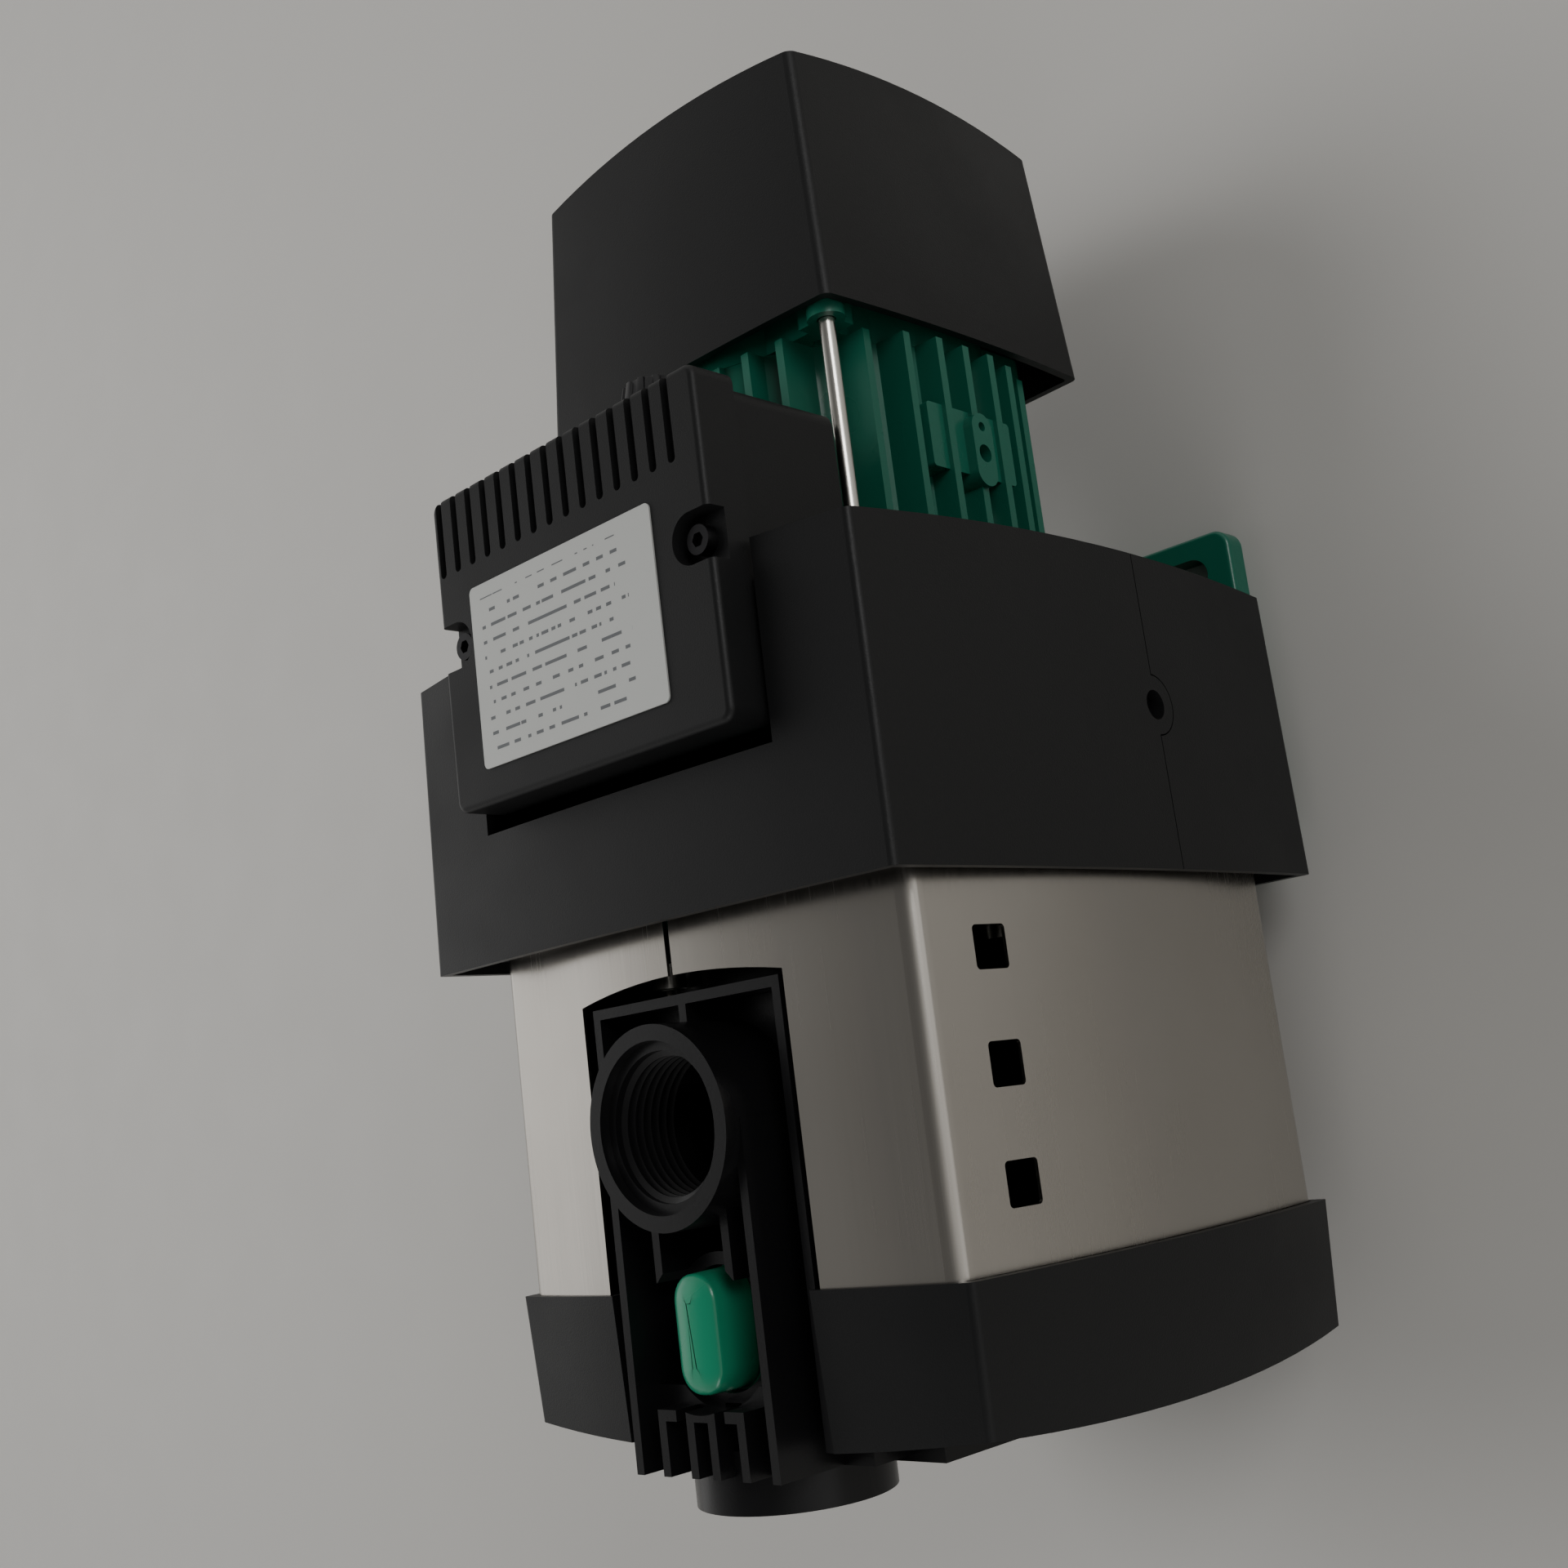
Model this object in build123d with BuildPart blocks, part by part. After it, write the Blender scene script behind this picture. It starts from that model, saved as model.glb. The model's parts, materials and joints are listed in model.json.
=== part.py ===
"""Horizontal multistage centrifugal water pump with its fan-cooled motor.

Frame: +Z up, +Y from the pump towards the fan, origin in the middle of the foot's slot
pattern on the floor. The shaft lies along Y at x = 0, z = SHAFT_Z. Heights named REL_... are
measured from the shaft, all other Z values from the floor. Millimetres.
"""
from build123d import *
from math import cos, radians, sin, sqrt
import os

os.makedirs("parts", exist_ok=True)

# ------------------------------------------------------------------ clearances and walls
FIT = 0.3                    # gap beside curved or loose faces
RUNNING = 0.05               # radial running clearance
WALL = 2.5                   # moulded covers
SHAFT_Z = 92.0               # shaft height above the floor

# ------------------------------------------------------------------ stations along the shaft
SUCTION_MOUTH_Y = -177.6
HEAD_Y = -169.4              # front face of the pump head
HEAD_THICK = 5.0
HEAD_FACE_Y = -171.0         # front of the head plate
STAGE_Y = -150.0             # front of the first stage
STAGE_PITCH = 22.0
STAGES = 3
DISCHARGE_Y = -95.3
FILLER_Y = -139.9
CASING_REAR_Y = -50.0
TRIM_REAR_Y = -131.8
SHROUD_FRONT_Y = -51.4
SHROUD_REAR_Y = 22.1         # at the corners of the rear edge
SHIELD_Y = 2.0               # front face of the motor's front end plate
SHIELD_THICK = 12.0
HOUSING_LENGTH = 72.0
FAN_COVER_FRONT_Y = 88.3
FAN_COVER_REAR_Y = 153.3     # at the corners of the domed end
FAN_Y = 100.0

# ------------------------------------------------------------------ pump casing
BARREL_R = 50.0
BARREL_WALL = 4.0
FLANGE_R = 64.0
FLANGE_THICK = 8.0
FLANGE_SCREW_R = 59.0
FLANGE_SCREWS = 8
PORT_R = 22.5                # outside of both threaded port collars
PORT_MOUTH_R = 18.9          # lead-in recess at the mouth
PORT_MOUTH_DEPTH = 2.6
PORT_THREAD_R = 16.6         # wall of the threaded bore (thread for 1 inch pipe)
PORT_BORE_DEPTH = 22.0
PASSAGE_R = 12.5
DISCHARGE_TOP_REL = 83.0
SUCTION_REL = 52.6           # suction axis above the shaft
BLOCK_HALF = 22.7            # ribbed block on top, to the outside of its side walls
BLOCK_TOP_REL = 79.0
BLOCK_FLOOR_REL = 60.0
HEAD_HALF = 40.0
HEAD_TOP_REL = 47.5
HEAD_STEP_REL = 22.0
HEAD_LOW_REL = -62.0
HEAD_CORNER = 4.0
FRONT_BLOCK_DEPTH = 18.0
FRONT_BLOCK_REL = 72.0
RIB = 2.4
RIB_X = 11.4                 # short ribs between discharge collar and filler boss
FRONT_RIB_X = 12.5
FRONT_RIB_GAP = 3.4
SADDLE_HALF = 31.5           # rim around the ribbed block
SADDLE_TOP_REL = 71.5
SADDLE_REAR_Y = -66.4
BOSS_R = 16.5                # filler boss
BOSS_TOP_REL = 69.0
BOSS_RECESS_R = 13.7
BOSS_RECESS = 8.0
FILLER_BORE_R = 8.0
PLUG_REACH = 17.5            # from the boss top to the end of the filler plug's stem
DRAIN_REL = -36.0
DRAIN_BOSS_R = 11.5
DRAIN_BOSS = 9.0
DRAIN_FACE_Y = -166.4        # front of the lower head plate, where the drain plug seals
DRAIN_BORE_R = 6.0

# ------------------------------------------------------------------ outer covers
JACKET_HALF = 68.4
JACKET_CROWN = 5.5
JACKET_CORNER = 5.0
SHEET = 0.8
JACKET_REAR_Y = -45.0
CUTOUT_HALF = 34.0
CUTOUT_REAR_Y = -65.4        # at the cut-out's corners
CUTOUT_ARCH = 3.2
SLIT = 1.7
VENT = 9.4
VENT_PITCH = 24.1
VENT_FIRST_Y = -66.9
VENT_REL = 48.2
TRIM_HALF = 71.8
TRIM_FRONT_HALF = 70.4
TRIM_HIGH = 69.4
TRIM_FRONT_HIGH = 68.1
TRIM_CROWN = 5.5
TRIM_DOME = 7.8              # rise of the domed front over its corners
TRIM_CHANNEL_HALF = 32.0
SHROUD_HALF = 77.6
SHROUD_REAR_HALF = 76.9
SHROUD_TOP_REL = 82.5
SHROUD_BOTTOM_REL = -78.9
SHROUD_TAPER = 0.8           # loss of height at each face, front to rear
SHROUD_CROWN = 2.5
SHROUD_EDGE = 1.8            # edge rounding outside
SHROUD_ARCH = 6.6            # rise of the arched rear edge over its corners
SHROUD_LIP = 3.0
SEAM_REL = -15.6
TAB_R = 7.2
TAB_Y = -12.1
BOX_BAY_HALF = 50.0          # bay in the shroud for the terminal box
BOX_BAY_FRONT_Y = -20.6

# ------------------------------------------------------------------ motor
HOUSING_R = 46.0
HOUSING_BORE_R = 42.0
FIN = 2.4
FIN_PITCH = 10.0
FIN_TIPS = (51.7, 51.6, 49.6, 45.5)   # reach of the side fins, from the middle outwards
TOP_FIN_TIPS = (46.5, 46.5, 46.3, 44.5)
BOX_SEAT_REL = 48.0
PLATE_HALF = 50.0            # front end plate of the motor
PLATE_HIGH = 47.7
SHIELD_R = 46.2              # rear end plate, inside the fan cover
SHIELD_CORE = 40.5
EAR_R = 4.6
EAR_WEB = 3.0
REAR_SHIELD_THICK = 9.0
ROD_X = 43.9                 # upper pair
ROD_LOW_X = 25.0             # lower pair, between the bottom fins
ROD_REL = 42.0
ROD_R = 2.0
BEARING_R = 17.5
BEARING_BORE_R = 7.5
BEARING_WIDTH = 11.0
BALL_R = 2.6
BALLS = 8
STACK_LENGTH = 44.0
STACK_Y = 28.0
ROTOR_R = 23.6
STATOR_BORE_R = 24.1
SHAFT_PUMP_R = 6.0
SHAFT_SEAL_R = 7.4
SHAFT_ROTOR_R = 9.0
FAN_R = 39.0
FAN_BLADES = 9
FAN_HUB_R = 11.0
FAN_WIDTH = 14.0

# ------------------------------------------------------------------ fan cover
COVER_HALF = 51.0
COVER_REAR_HALF = 47.0
COVER_HIGH = 49.2
COVER_REAR_HIGH = 46.5
COVER_CROWN = 1.8
COVER_DOME = 7.3
COVER_WALL = 2.2
POST_AT = 34.0               # screw posts of the fan cover, from the shaft in x and z
POST_R = 4.6

# ------------------------------------------------------------------ terminal box
BOX_HALF = 46.5
BOX_FRONT_Y = -14.5
BOX_LENGTH = 75.3
BOX_TOP_Z = 172.0
GASKET = 1.0
LID_HALF = 48.5
LID_OVERHANG = 1.7
LID_HEIGHT = 12.0
LID_GROOVES = 15
LID_GROOVE = 2.3
LID_GROOVE_PITCH = 6.07
LID_GROOVE_LENGTH = 20.0
LID_GROOVE_DEPTH = 1.8
LID_SCREW_X = 44.0
LID_SCREW_Y = 24.6
LID_NOTCH_R = 5.8
LID_NOTCH = 5.0
LABEL_WIDE = 66.5
LABEL_LONG = 44.5
LABEL_X = -2.2
LABEL_Y = 14.3
LABEL_THICK = 0.4
GLAND_X = 8.0
GLAND_Z = 158.0
GLAND_BORE_R = 4.5
GLAND_THREAD_R = 8.0
GLAND_HEX = 20.0             # across flats

# ------------------------------------------------------------------ foot
FOOT_WIDE = 134.0
FOOT_LONG = 94.0
FOOT_THICK = 7.0
SLOT_WIDE = 10.0
SLOT_LONG = 24.0
SLOT_SPACING_X = 94.8
SLOT_SPACING_Y = 72.0
CHEEK = 6.0                  # upright plates of the foot
CHEEK_AT = 33.0              # outside of each upright
CHEEK_LONG = 60.0
SEAT_Z = 40.0                # where the bracket sits on the foot
SEAT_THICK = 6.0
FOOT_SCREW_X = 20.0
FOOT_SCREW_Y = (-20.0, 6.0)

# ------------------------------------------------------------------ derived places
SHAFT = Axis((0, 0, SHAFT_Z), (0, 1, 0))
BARREL_OUT_R = BARREL_R + BARREL_WALL
BARREL_FRONT_Y = HEAD_Y + HEAD_THICK
STAGE_END_Y = STAGE_Y + STAGES * STAGE_PITCH
SPIGOT_Y = CASING_REAR_Y - 6
HOUSING_Y = SHIELD_Y + SHIELD_THICK
REAR_SHIELD_Y = HOUSING_Y + HOUSING_LENGTH
REAR_BEARING_Y = REAR_SHIELD_Y - 6
FRONT_BEARING_Y = HOUSING_Y - BEARING_WIDTH
SEAT_BOX_Z = SHAFT_Z + BOX_SEAT_REL
LID_Z = BOX_TOP_Z + GASKET
LID_TOP_Z = LID_Z + LID_HEIGHT
BOX_REAR_Y = BOX_FRONT_Y + BOX_LENGTH
LID_REAR_Y = BOX_REAR_Y + LID_OVERHANG
LID_MID_Y = BOX_FRONT_Y + BOX_LENGTH / 2
BOSS_TOP_Z = SHAFT_Z + BOSS_TOP_REL
FLANGE_Y = CASING_REAR_Y - FLANGE_THICK
rod_spots = [
    (-ROD_X, ROD_REL), (ROD_X, ROD_REL), (-ROD_LOW_X, -ROD_REL), (ROD_LOW_X, -ROD_REL),
]


def across(y):
    """Plane square to the shaft: local x is X, local y is height over the shaft."""
    return Plane(origin=(0, y, SHAFT_Z), x_dir=(1, 0, 0), z_dir=(0, -1, 0))


def level(z):
    """Horizontal plane at height z."""
    return Plane.XY.offset(z)


LENGTHWISE = Plane(origin=(0, 0, SHAFT_Z), x_dir=(0, 1, 0), z_dir=(1, 0, 0))


def finish(shape, name):
    """Label a piece and write it as its own file."""
    shape.label = name
    export_step(shape, f"parts/{name}.step")


def turned(points):
    """Solid of revolution about the shaft from (y, radius) points."""
    with BuildPart() as body:
        with BuildSketch(LENGTHWISE):
            with BuildLine():
                Polyline(*points, close=True)
            make_face()
        revolve(axis=SHAFT)
    return body.part


def sleeve(front, rear, inner, outer):
    """Plain ring about the shaft."""
    return turned([(front, inner), (rear, inner), (rear, outer), (front, outer)])


def crowned_section(half, low, high, crown, corner):
    """Square section whose four sides bulge outwards by crown."""
    middle = (low + high) / 2
    with BuildSketch() as section:
        with BuildLine():
            ThreePointArc((-half, low), (0, low - crown), (half, low))
            ThreePointArc((half, low), (half + crown, middle), (half, high))
            ThreePointArc((half, high), (0, high + crown), (-half, high))
            ThreePointArc((-half, high), (-half - crown, middle), (-half, low))
        make_face()
        fillet(section.vertices(), corner)
    return section.sketch


def dome_radius(corner_x, corner_z, rise):
    """Radius of a sphere that rises by rise over a rectangle's corners."""
    reach_squared = corner_x ** 2 + corner_z ** 2
    return reach_squared / (2 * rise) + rise / 2


# ================================================================== pump casing
def rib_box(x, y_front, y_rear, low, high, wide=RIB):
    """Upright rib along the shaft between two heights over the shaft."""
    with BuildPart() as rib:
        with BuildSketch(across(y_rear)):
            with Locations((x, (low + high) / 2)):
                Rectangle(wide, high - low)
        extrude(amount=y_rear - y_front)
    return rib.part


with BuildPart() as pump_casing:
    # barrel with its rear flange
    add(sleeve(BARREL_FRONT_Y, CASING_REAR_Y, 0, BARREL_OUT_R))
    add(sleeve(FLANGE_Y, CASING_REAR_Y, 0, FLANGE_R))
    # head plate in line with the front cover, its upper part slightly proud of it
    with BuildSketch(across(BARREL_FRONT_Y)):
        with Locations((0, (HEAD_TOP_REL + HEAD_LOW_REL) / 2)):
            RectangleRounded(2 * HEAD_HALF, HEAD_TOP_REL - HEAD_LOW_REL, HEAD_CORNER)
    extrude(amount=BARREL_FRONT_Y - DRAIN_FACE_Y)
    with BuildSketch(across(BARREL_FRONT_Y)):
        with Locations((0, (HEAD_TOP_REL + HEAD_STEP_REL) / 2)):
            Rectangle(2 * HEAD_HALF, HEAD_TOP_REL - HEAD_STEP_REL)
    extrude(amount=BARREL_FRONT_Y - HEAD_FACE_Y)
    # saddle on top of the barrel, with a rim
    add(rib_box(0, HEAD_Y, SADDLE_REAR_Y, 38, BLOCK_FLOOR_REL, 2 * SADDLE_HALF))
    for side in (-1, 1):
        edge_x = side * (SADDLE_HALF - RIB / 2)
        add(rib_box(edge_x, BARREL_FRONT_Y, SADDLE_REAR_Y, 38, SADDLE_TOP_REL))
        wall_x = side * (BLOCK_HALF - RIB / 2)
        add(rib_box(wall_x, HEAD_Y, DISCHARGE_Y, 38, BLOCK_TOP_REL))
    add(rib_box(0, SADDLE_REAR_Y - RIB, SADDLE_REAR_Y, 38, SADDLE_TOP_REL, 2 * SADDLE_HALF))
    # solid block around the suction passage, with ribs on it
    front_block_y = HEAD_Y + FRONT_BLOCK_DEPTH
    add(rib_box(0, HEAD_Y, front_block_y, 30, FRONT_BLOCK_REL, 2 * BLOCK_HALF))
    rib_end_y = front_block_y - 4
    for rib_x in (-FRONT_RIB_X, -FRONT_RIB_GAP, FRONT_RIB_GAP, FRONT_RIB_X):
        add(rib_box(rib_x, HEAD_Y, rib_end_y, FRONT_BLOCK_REL, BLOCK_TOP_REL))
    add(rib_box(0, rib_end_y - RIB, rib_end_y, FRONT_BLOCK_REL, BLOCK_TOP_REL, 2 * FRONT_RIB_GAP))
    for side in (-1, 1):
        hook_x = side * (FRONT_RIB_X - RIB)
        add(rib_box(hook_x, rib_end_y - RIB, rib_end_y, FRONT_BLOCK_REL, BLOCK_TOP_REL, 2 * RIB))
    # ribs that tie the discharge collar to the rim and to the filler boss
    add(rib_box(0, DISCHARGE_Y, SADDLE_REAR_Y, BLOCK_FLOOR_REL, SADDLE_TOP_REL))
    for rib_x in (-RIB_X, RIB_X):
        add(rib_box(rib_x, FILLER_Y + 11, DISCHARGE_Y, BLOCK_FLOOR_REL, BLOCK_TOP_REL - 2.5))
    # port collars, filler boss and drain boss
    with BuildSketch(level(SHAFT_Z + 38)):
        with Locations((0, DISCHARGE_Y)):
            Circle(PORT_R)
    extrude(amount=DISCHARGE_TOP_REL - 38)
    with BuildSketch(level(SHAFT_Z + 38)):
        with Locations((0, FILLER_Y)):
            Circle(BOSS_R)
    extrude(amount=BOSS_TOP_REL - 38)
    with BuildSketch(across(BARREL_FRONT_Y)):
        with Locations((0, SUCTION_REL)):
            Circle(PORT_R)
    extrude(amount=BARREL_FRONT_Y - SUCTION_MOUTH_Y)
    # room over the filler boss, then every water passage
    with BuildSketch(level(BOSS_TOP_Z)):
        with Locations((0, FILLER_Y)):
            Circle(BOSS_R)
    extrude(amount=BLOCK_TOP_REL, mode=Mode.SUBTRACT)
    add(sleeve(BARREL_FRONT_Y, CASING_REAR_Y, 0, BARREL_R - 5), mode=Mode.SUBTRACT)
    add(sleeve(STAGE_Y - FIT, CASING_REAR_Y, 0, BARREL_R), mode=Mode.SUBTRACT)
    add(sleeve(CASING_REAR_Y - 3, CASING_REAR_Y, 0, BARREL_R + 3.6), mode=Mode.SUBTRACT)
    # drain boss inside
    with BuildSketch(across(DRAIN_FACE_Y + DRAIN_BOSS)):
        with Locations((0, DRAIN_REL)):
            Circle(DRAIN_BOSS_R)
    extrude(amount=DRAIN_BOSS)
    discharge_bores = (
        (PORT_MOUTH_R, PORT_MOUTH_DEPTH), (PORT_THREAD_R, PORT_BORE_DEPTH), (PASSAGE_R, 40.0),
    )
    for radius, depth in discharge_bores:
        with BuildSketch(level(SHAFT_Z + DISCHARGE_TOP_REL)):
            with Locations((0, DISCHARGE_Y)):
                Circle(radius)
        extrude(amount=-depth, mode=Mode.SUBTRACT)
    for radius, depth in ((PORT_MOUTH_R, PORT_MOUTH_DEPTH), (PORT_THREAD_R, PORT_BORE_DEPTH)):
        with BuildSketch(across(SUCTION_MOUTH_Y)):
            with Locations((0, SUCTION_REL)):
                Circle(radius)
        extrude(amount=-depth, mode=Mode.SUBTRACT)
    for radius, depth in ((BOSS_RECESS_R, BOSS_RECESS), (FILLER_BORE_R, 35.0)):
        with BuildSketch(level(BOSS_TOP_Z)):
            with Locations((0, FILLER_Y)):
                Circle(radius)
        extrude(amount=-depth, mode=Mode.SUBTRACT)
    with BuildSketch(across(DRAIN_FACE_Y)):
        with Locations((0, DRAIN_REL)):
            Circle(DRAIN_BORE_R)
    extrude(amount=-DRAIN_BOSS, mode=Mode.SUBTRACT)
    # tapped holes in the flange
    with BuildSketch(across(CASING_REAR_Y)):
        with PolarLocations(FLANGE_SCREW_R, FLANGE_SCREWS, start_angle=22.5):
            Circle(2.5 + FIT)
    extrude(amount=FLANGE_THICK, mode=Mode.SUBTRACT)
finish(pump_casing.part, "pump_casing")

# ================================================================== steel jacket
with BuildPart() as steel_jacket:
    with BuildSketch(across(JACKET_REAR_Y)):
        add(crowned_section(JACKET_HALF, -JACKET_HALF, JACKET_HALF, JACKET_CROWN, JACKET_CORNER))
        add(
            crowned_section(
                JACKET_HALF - SHEET, SHEET - JACKET_HALF, JACKET_HALF - SHEET,
                JACKET_CROWN, JACKET_CORNER - SHEET,
            ),
            mode=Mode.SUBTRACT,
        )
    extrude(amount=JACKET_REAR_Y - TRIM_REAR_Y)
    # cut-out over the ports, with an arched rear edge, and the slit where the sheet's ends meet
    with BuildSketch(level(SHAFT_Z)):
        with BuildLine():
            Polyline(
                (CUTOUT_HALF, CUTOUT_REAR_Y), (CUTOUT_HALF, TRIM_REAR_Y - 1),
                (-CUTOUT_HALF, TRIM_REAR_Y - 1), (-CUTOUT_HALF, CUTOUT_REAR_Y),
            )
            ThreePointArc(
                (-CUTOUT_HALF, CUTOUT_REAR_Y), (0, CUTOUT_REAR_Y + CUTOUT_ARCH),
                (CUTOUT_HALF, CUTOUT_REAR_Y),
            )
        make_face()
        with Locations((0, (CUTOUT_REAR_Y + JACKET_REAR_Y) / 2)):
            Rectangle(SLIT, JACKET_REAR_Y - CUTOUT_REAR_Y + 2)
    extrude(amount=JACKET_HALF + 20, mode=Mode.SUBTRACT)
    # three square vents on each side
    with BuildSketch(Plane.YZ.offset(-JACKET_HALF - 20)):
        for row in range(3):
            with Locations((VENT_FIRST_Y - row * VENT_PITCH, SHAFT_Z + VENT_REL)):
                RectangleRounded(VENT, VENT, 1.0)
    extrude(amount=2 * JACKET_HALF + 40, mode=Mode.SUBTRACT)
finish(steel_jacket.part, "steel_jacket")


# ================================================================== front cover
def trim_block(inset):
    """Body of the front cover, or of the room inside it when inset is its wall."""
    reach = TRIM_REAR_Y - HEAD_Y
    slope = (TRIM_HALF - TRIM_FRONT_HALF) / (reach - TRIM_DOME)
    front_half = TRIM_HALF - slope * reach
    front_high = TRIM_HIGH - slope * reach
    radius = dome_radius(TRIM_FRONT_HALF, TRIM_FRONT_HIGH, TRIM_DOME)
    with BuildPart() as block:
        for y, half, high in ((TRIM_REAR_Y, TRIM_HALF, TRIM_HIGH), (HEAD_Y, front_half, front_high)):
            with BuildSketch(across(y)):
                add(crowned_section(half - inset, inset - high, high - inset, TRIM_CROWN, 2.0))
        loft()
        with Locations((0, HEAD_Y + radius, SHAFT_Z)):
            Sphere(radius - inset, mode=Mode.INTERSECT)
    return block.part


with BuildPart() as front_cover:
    add(trim_block(0))
    add(trim_block(WALL), mode=Mode.SUBTRACT)
    # side walls of the channel, cut to the cover's own surface below
    with BuildPart(mode=Mode.PRIVATE) as channel_walls:
        for side in (-1, 1):
            add(
                rib_box(
                    side * (TRIM_CHANNEL_HALF + WALL / 2), HEAD_Y, TRIM_REAR_Y,
                    BLOCK_FLOOR_REL - 14, TRIM_HIGH + TRIM_CROWN, WALL,
                )
            )
        add(trim_block(WALL / 2), mode=Mode.INTERSECT)
    add(channel_walls.part)
    with BuildSketch(across(TRIM_REAR_Y)):
        with Locations((0, TRIM_HIGH)):
            Rectangle(2 * TRIM_CHANNEL_HALF, 2 * (TRIM_HIGH - 30))
    extrude(amount=TRIM_REAR_Y - HEAD_Y, mode=Mode.SUBTRACT)
    # opening for the head plate
    with BuildSketch(across(BARREL_FRONT_Y + 8)):
        with Locations((0, (HEAD_TOP_REL + HEAD_LOW_REL) / 2)):
            RectangleRounded(
                2 * (HEAD_HALF + FIT), HEAD_TOP_REL - HEAD_LOW_REL + 2 * FIT, HEAD_CORNER + FIT
            )
    extrude(amount=20, mode=Mode.SUBTRACT)
finish(front_cover.part, "front_cover")


# ================================================================== plugs and their seals
with BuildPart() as filler_plug:
    # threaded stem, flange in the boss and a long grip
    with BuildSketch(level(BOSS_TOP_Z - PLUG_REACH)):
        with Locations((0, FILLER_Y)):
            Circle(FILLER_BORE_R - RUNNING)
    extrude(amount=PLUG_REACH - BOSS_RECESS + 2.4)
    with BuildSketch(level(BOSS_TOP_Z - BOSS_RECESS + 2.1)):
        with Locations((0, FILLER_Y)):
            Circle(BOSS_RECESS_R - FIT)
    extrude(amount=3.0)
    with BuildSketch(level(BOSS_TOP_Z - 3)):
        with Locations((0, FILLER_Y)):
            RectangleRounded(13.8, 26.0, 6.6)
    extrude(amount=12.0, taper=1.5)
    fillet(filler_plug.faces().sort_by(Axis.Z)[-1].edges(), 1.6)
finish(filler_plug.part, "filler_plug")

with BuildPart() as filler_seal:
    with BuildSketch(level(BOSS_TOP_Z - BOSS_RECESS)):
        with Locations((0, FILLER_Y)):
            Circle(BOSS_RECESS_R - 1)
            Circle(FILLER_BORE_R + FIT, mode=Mode.SUBTRACT)
    extrude(amount=2.0)
finish(filler_seal.part, "filler_seal")

with BuildPart() as drain_plug:
    with BuildSketch(across(DRAIN_FACE_Y + DRAIN_BOSS)):
        with Locations((0, DRAIN_REL)):
            Circle(DRAIN_BORE_R - RUNNING)
    extrude(amount=DRAIN_BOSS + 2.4)
    with BuildSketch(across(DRAIN_FACE_Y - 2.1)):
        with Locations((0, DRAIN_REL)):
            Circle(9.5)
    extrude(amount=2.5)
    with BuildSketch(across(DRAIN_FACE_Y - 4.4)):
        with Locations((0, DRAIN_REL)):
            RegularPolygon(7.2, 6)
    extrude(amount=5.0)
    fillet(drain_plug.faces().sort_by(Axis.Y)[0].edges(), 0.8)
finish(drain_plug.part, "drain_plug")

with BuildPart() as drain_seal:
    with BuildSketch(across(DRAIN_FACE_Y)):
        with Locations((0, DRAIN_REL)):
            Circle(9.0)
            Circle(DRAIN_BORE_R + FIT, mode=Mode.SUBTRACT)
    extrude(amount=2.0)
finish(drain_seal.part, "drain_seal")

# ================================================================== stages
EYE_R = 15.8
HOUSING_CUP_R = 46.0
for stage in range(STAGES):
    front = STAGE_Y + stage * STAGE_PITCH
    rear = front + STAGE_PITCH
    rim_r = BARREL_R - FIT if stage == 0 else HOUSING_CUP_R
    groove = [(front + 1.5, rim_r), (front + 1.5, rim_r - 2.6), (front + 4.5, rim_r - 2.6), (front + 4.5, rim_r)]
    cup = [
        (front, EYE_R), (front + 2, EYE_R), (front + 2, HOUSING_CUP_R - 2), (rear, HOUSING_CUP_R - 2),
        (rear, HOUSING_CUP_R), (front + 6, HOUSING_CUP_R),
    ]
    if stage == 0:
        cup += [(front + 6, rim_r)] + groove[::-1]
    cup += [(front, rim_r)]
    finish(turned(cup), f"stage_housing_{stage + 1}")

    # plate behind the impeller with return vanes to the next eye
    with BuildPart() as diffuser:
        add(sleeve(front + 11.3, front + 13, 9.6, HOUSING_CUP_R - 2 - FIT))
        with BuildSketch(across(rear)):
            with PolarLocations(26, 8):
                with Locations(Rotation(0, 0, 25)):
                    Rectangle(28, 1.8)
        extrude(amount=STAGE_PITCH - 13)
    finish(diffuser.part, f"diffuser_{stage + 1}")

    # closed impeller: hub, back disc, curved vanes, front disc with its neck
    with BuildPart() as impeller:
        add(sleeve(front + 1, front + 10.5, SHAFT_PUMP_R + 0.02, 9.5))
        add(sleeve(front + 9, front + 10.5, 9, 36))
        add(turned([
            (front + 0.4, 13.6), (front + 0.4, EYE_R - 0.4), (front + 3.0, EYE_R - 0.4),
            (front + 3.0, 36), (front + 4.4, 36), (front + 4.4, 13.6),
        ]))
        with BuildSketch(across(front + 9)):
            for vane in range(6):
                turn = radians(60 * vane)
                with BuildLine():
                    ThreePointArc(
                        (12 * cos(turn), 12 * sin(turn)),
                        (23 * cos(turn + 0.55), 23 * sin(turn + 0.55)),
                        (35.5 * cos(turn + 0.75), 35.5 * sin(turn + 0.75)),
                    )
                    ThreePointArc(
                        (35.5 * cos(turn + 0.75), 35.5 * sin(turn + 0.75)),
                        (24.6 * cos(turn + 0.49), 24.6 * sin(turn + 0.49)),
                        (13.5 * cos(turn - 0.1), 13.5 * sin(turn - 0.1)),
                    )
                    Line(
                        (13.5 * cos(turn - 0.1), 13.5 * sin(turn - 0.1)),
                        (12 * cos(turn), 12 * sin(turn)),
                    )
                make_face()
        extrude(amount=4.7)
    finish(impeller.part, f"impeller_{stage + 1}")

with BuildPart() as impeller_spacers:
    for stage in range(STAGES):
        front = STAGE_Y + stage * STAGE_PITCH
        spacer_end = min(front + STAGE_PITCH + 1, STAGE_END_Y)
        add(sleeve(front + 10.5, spacer_end, SHAFT_PUMP_R + 0.02, 9))
finish(impeller_spacers.part, "impeller_spacers")

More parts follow.
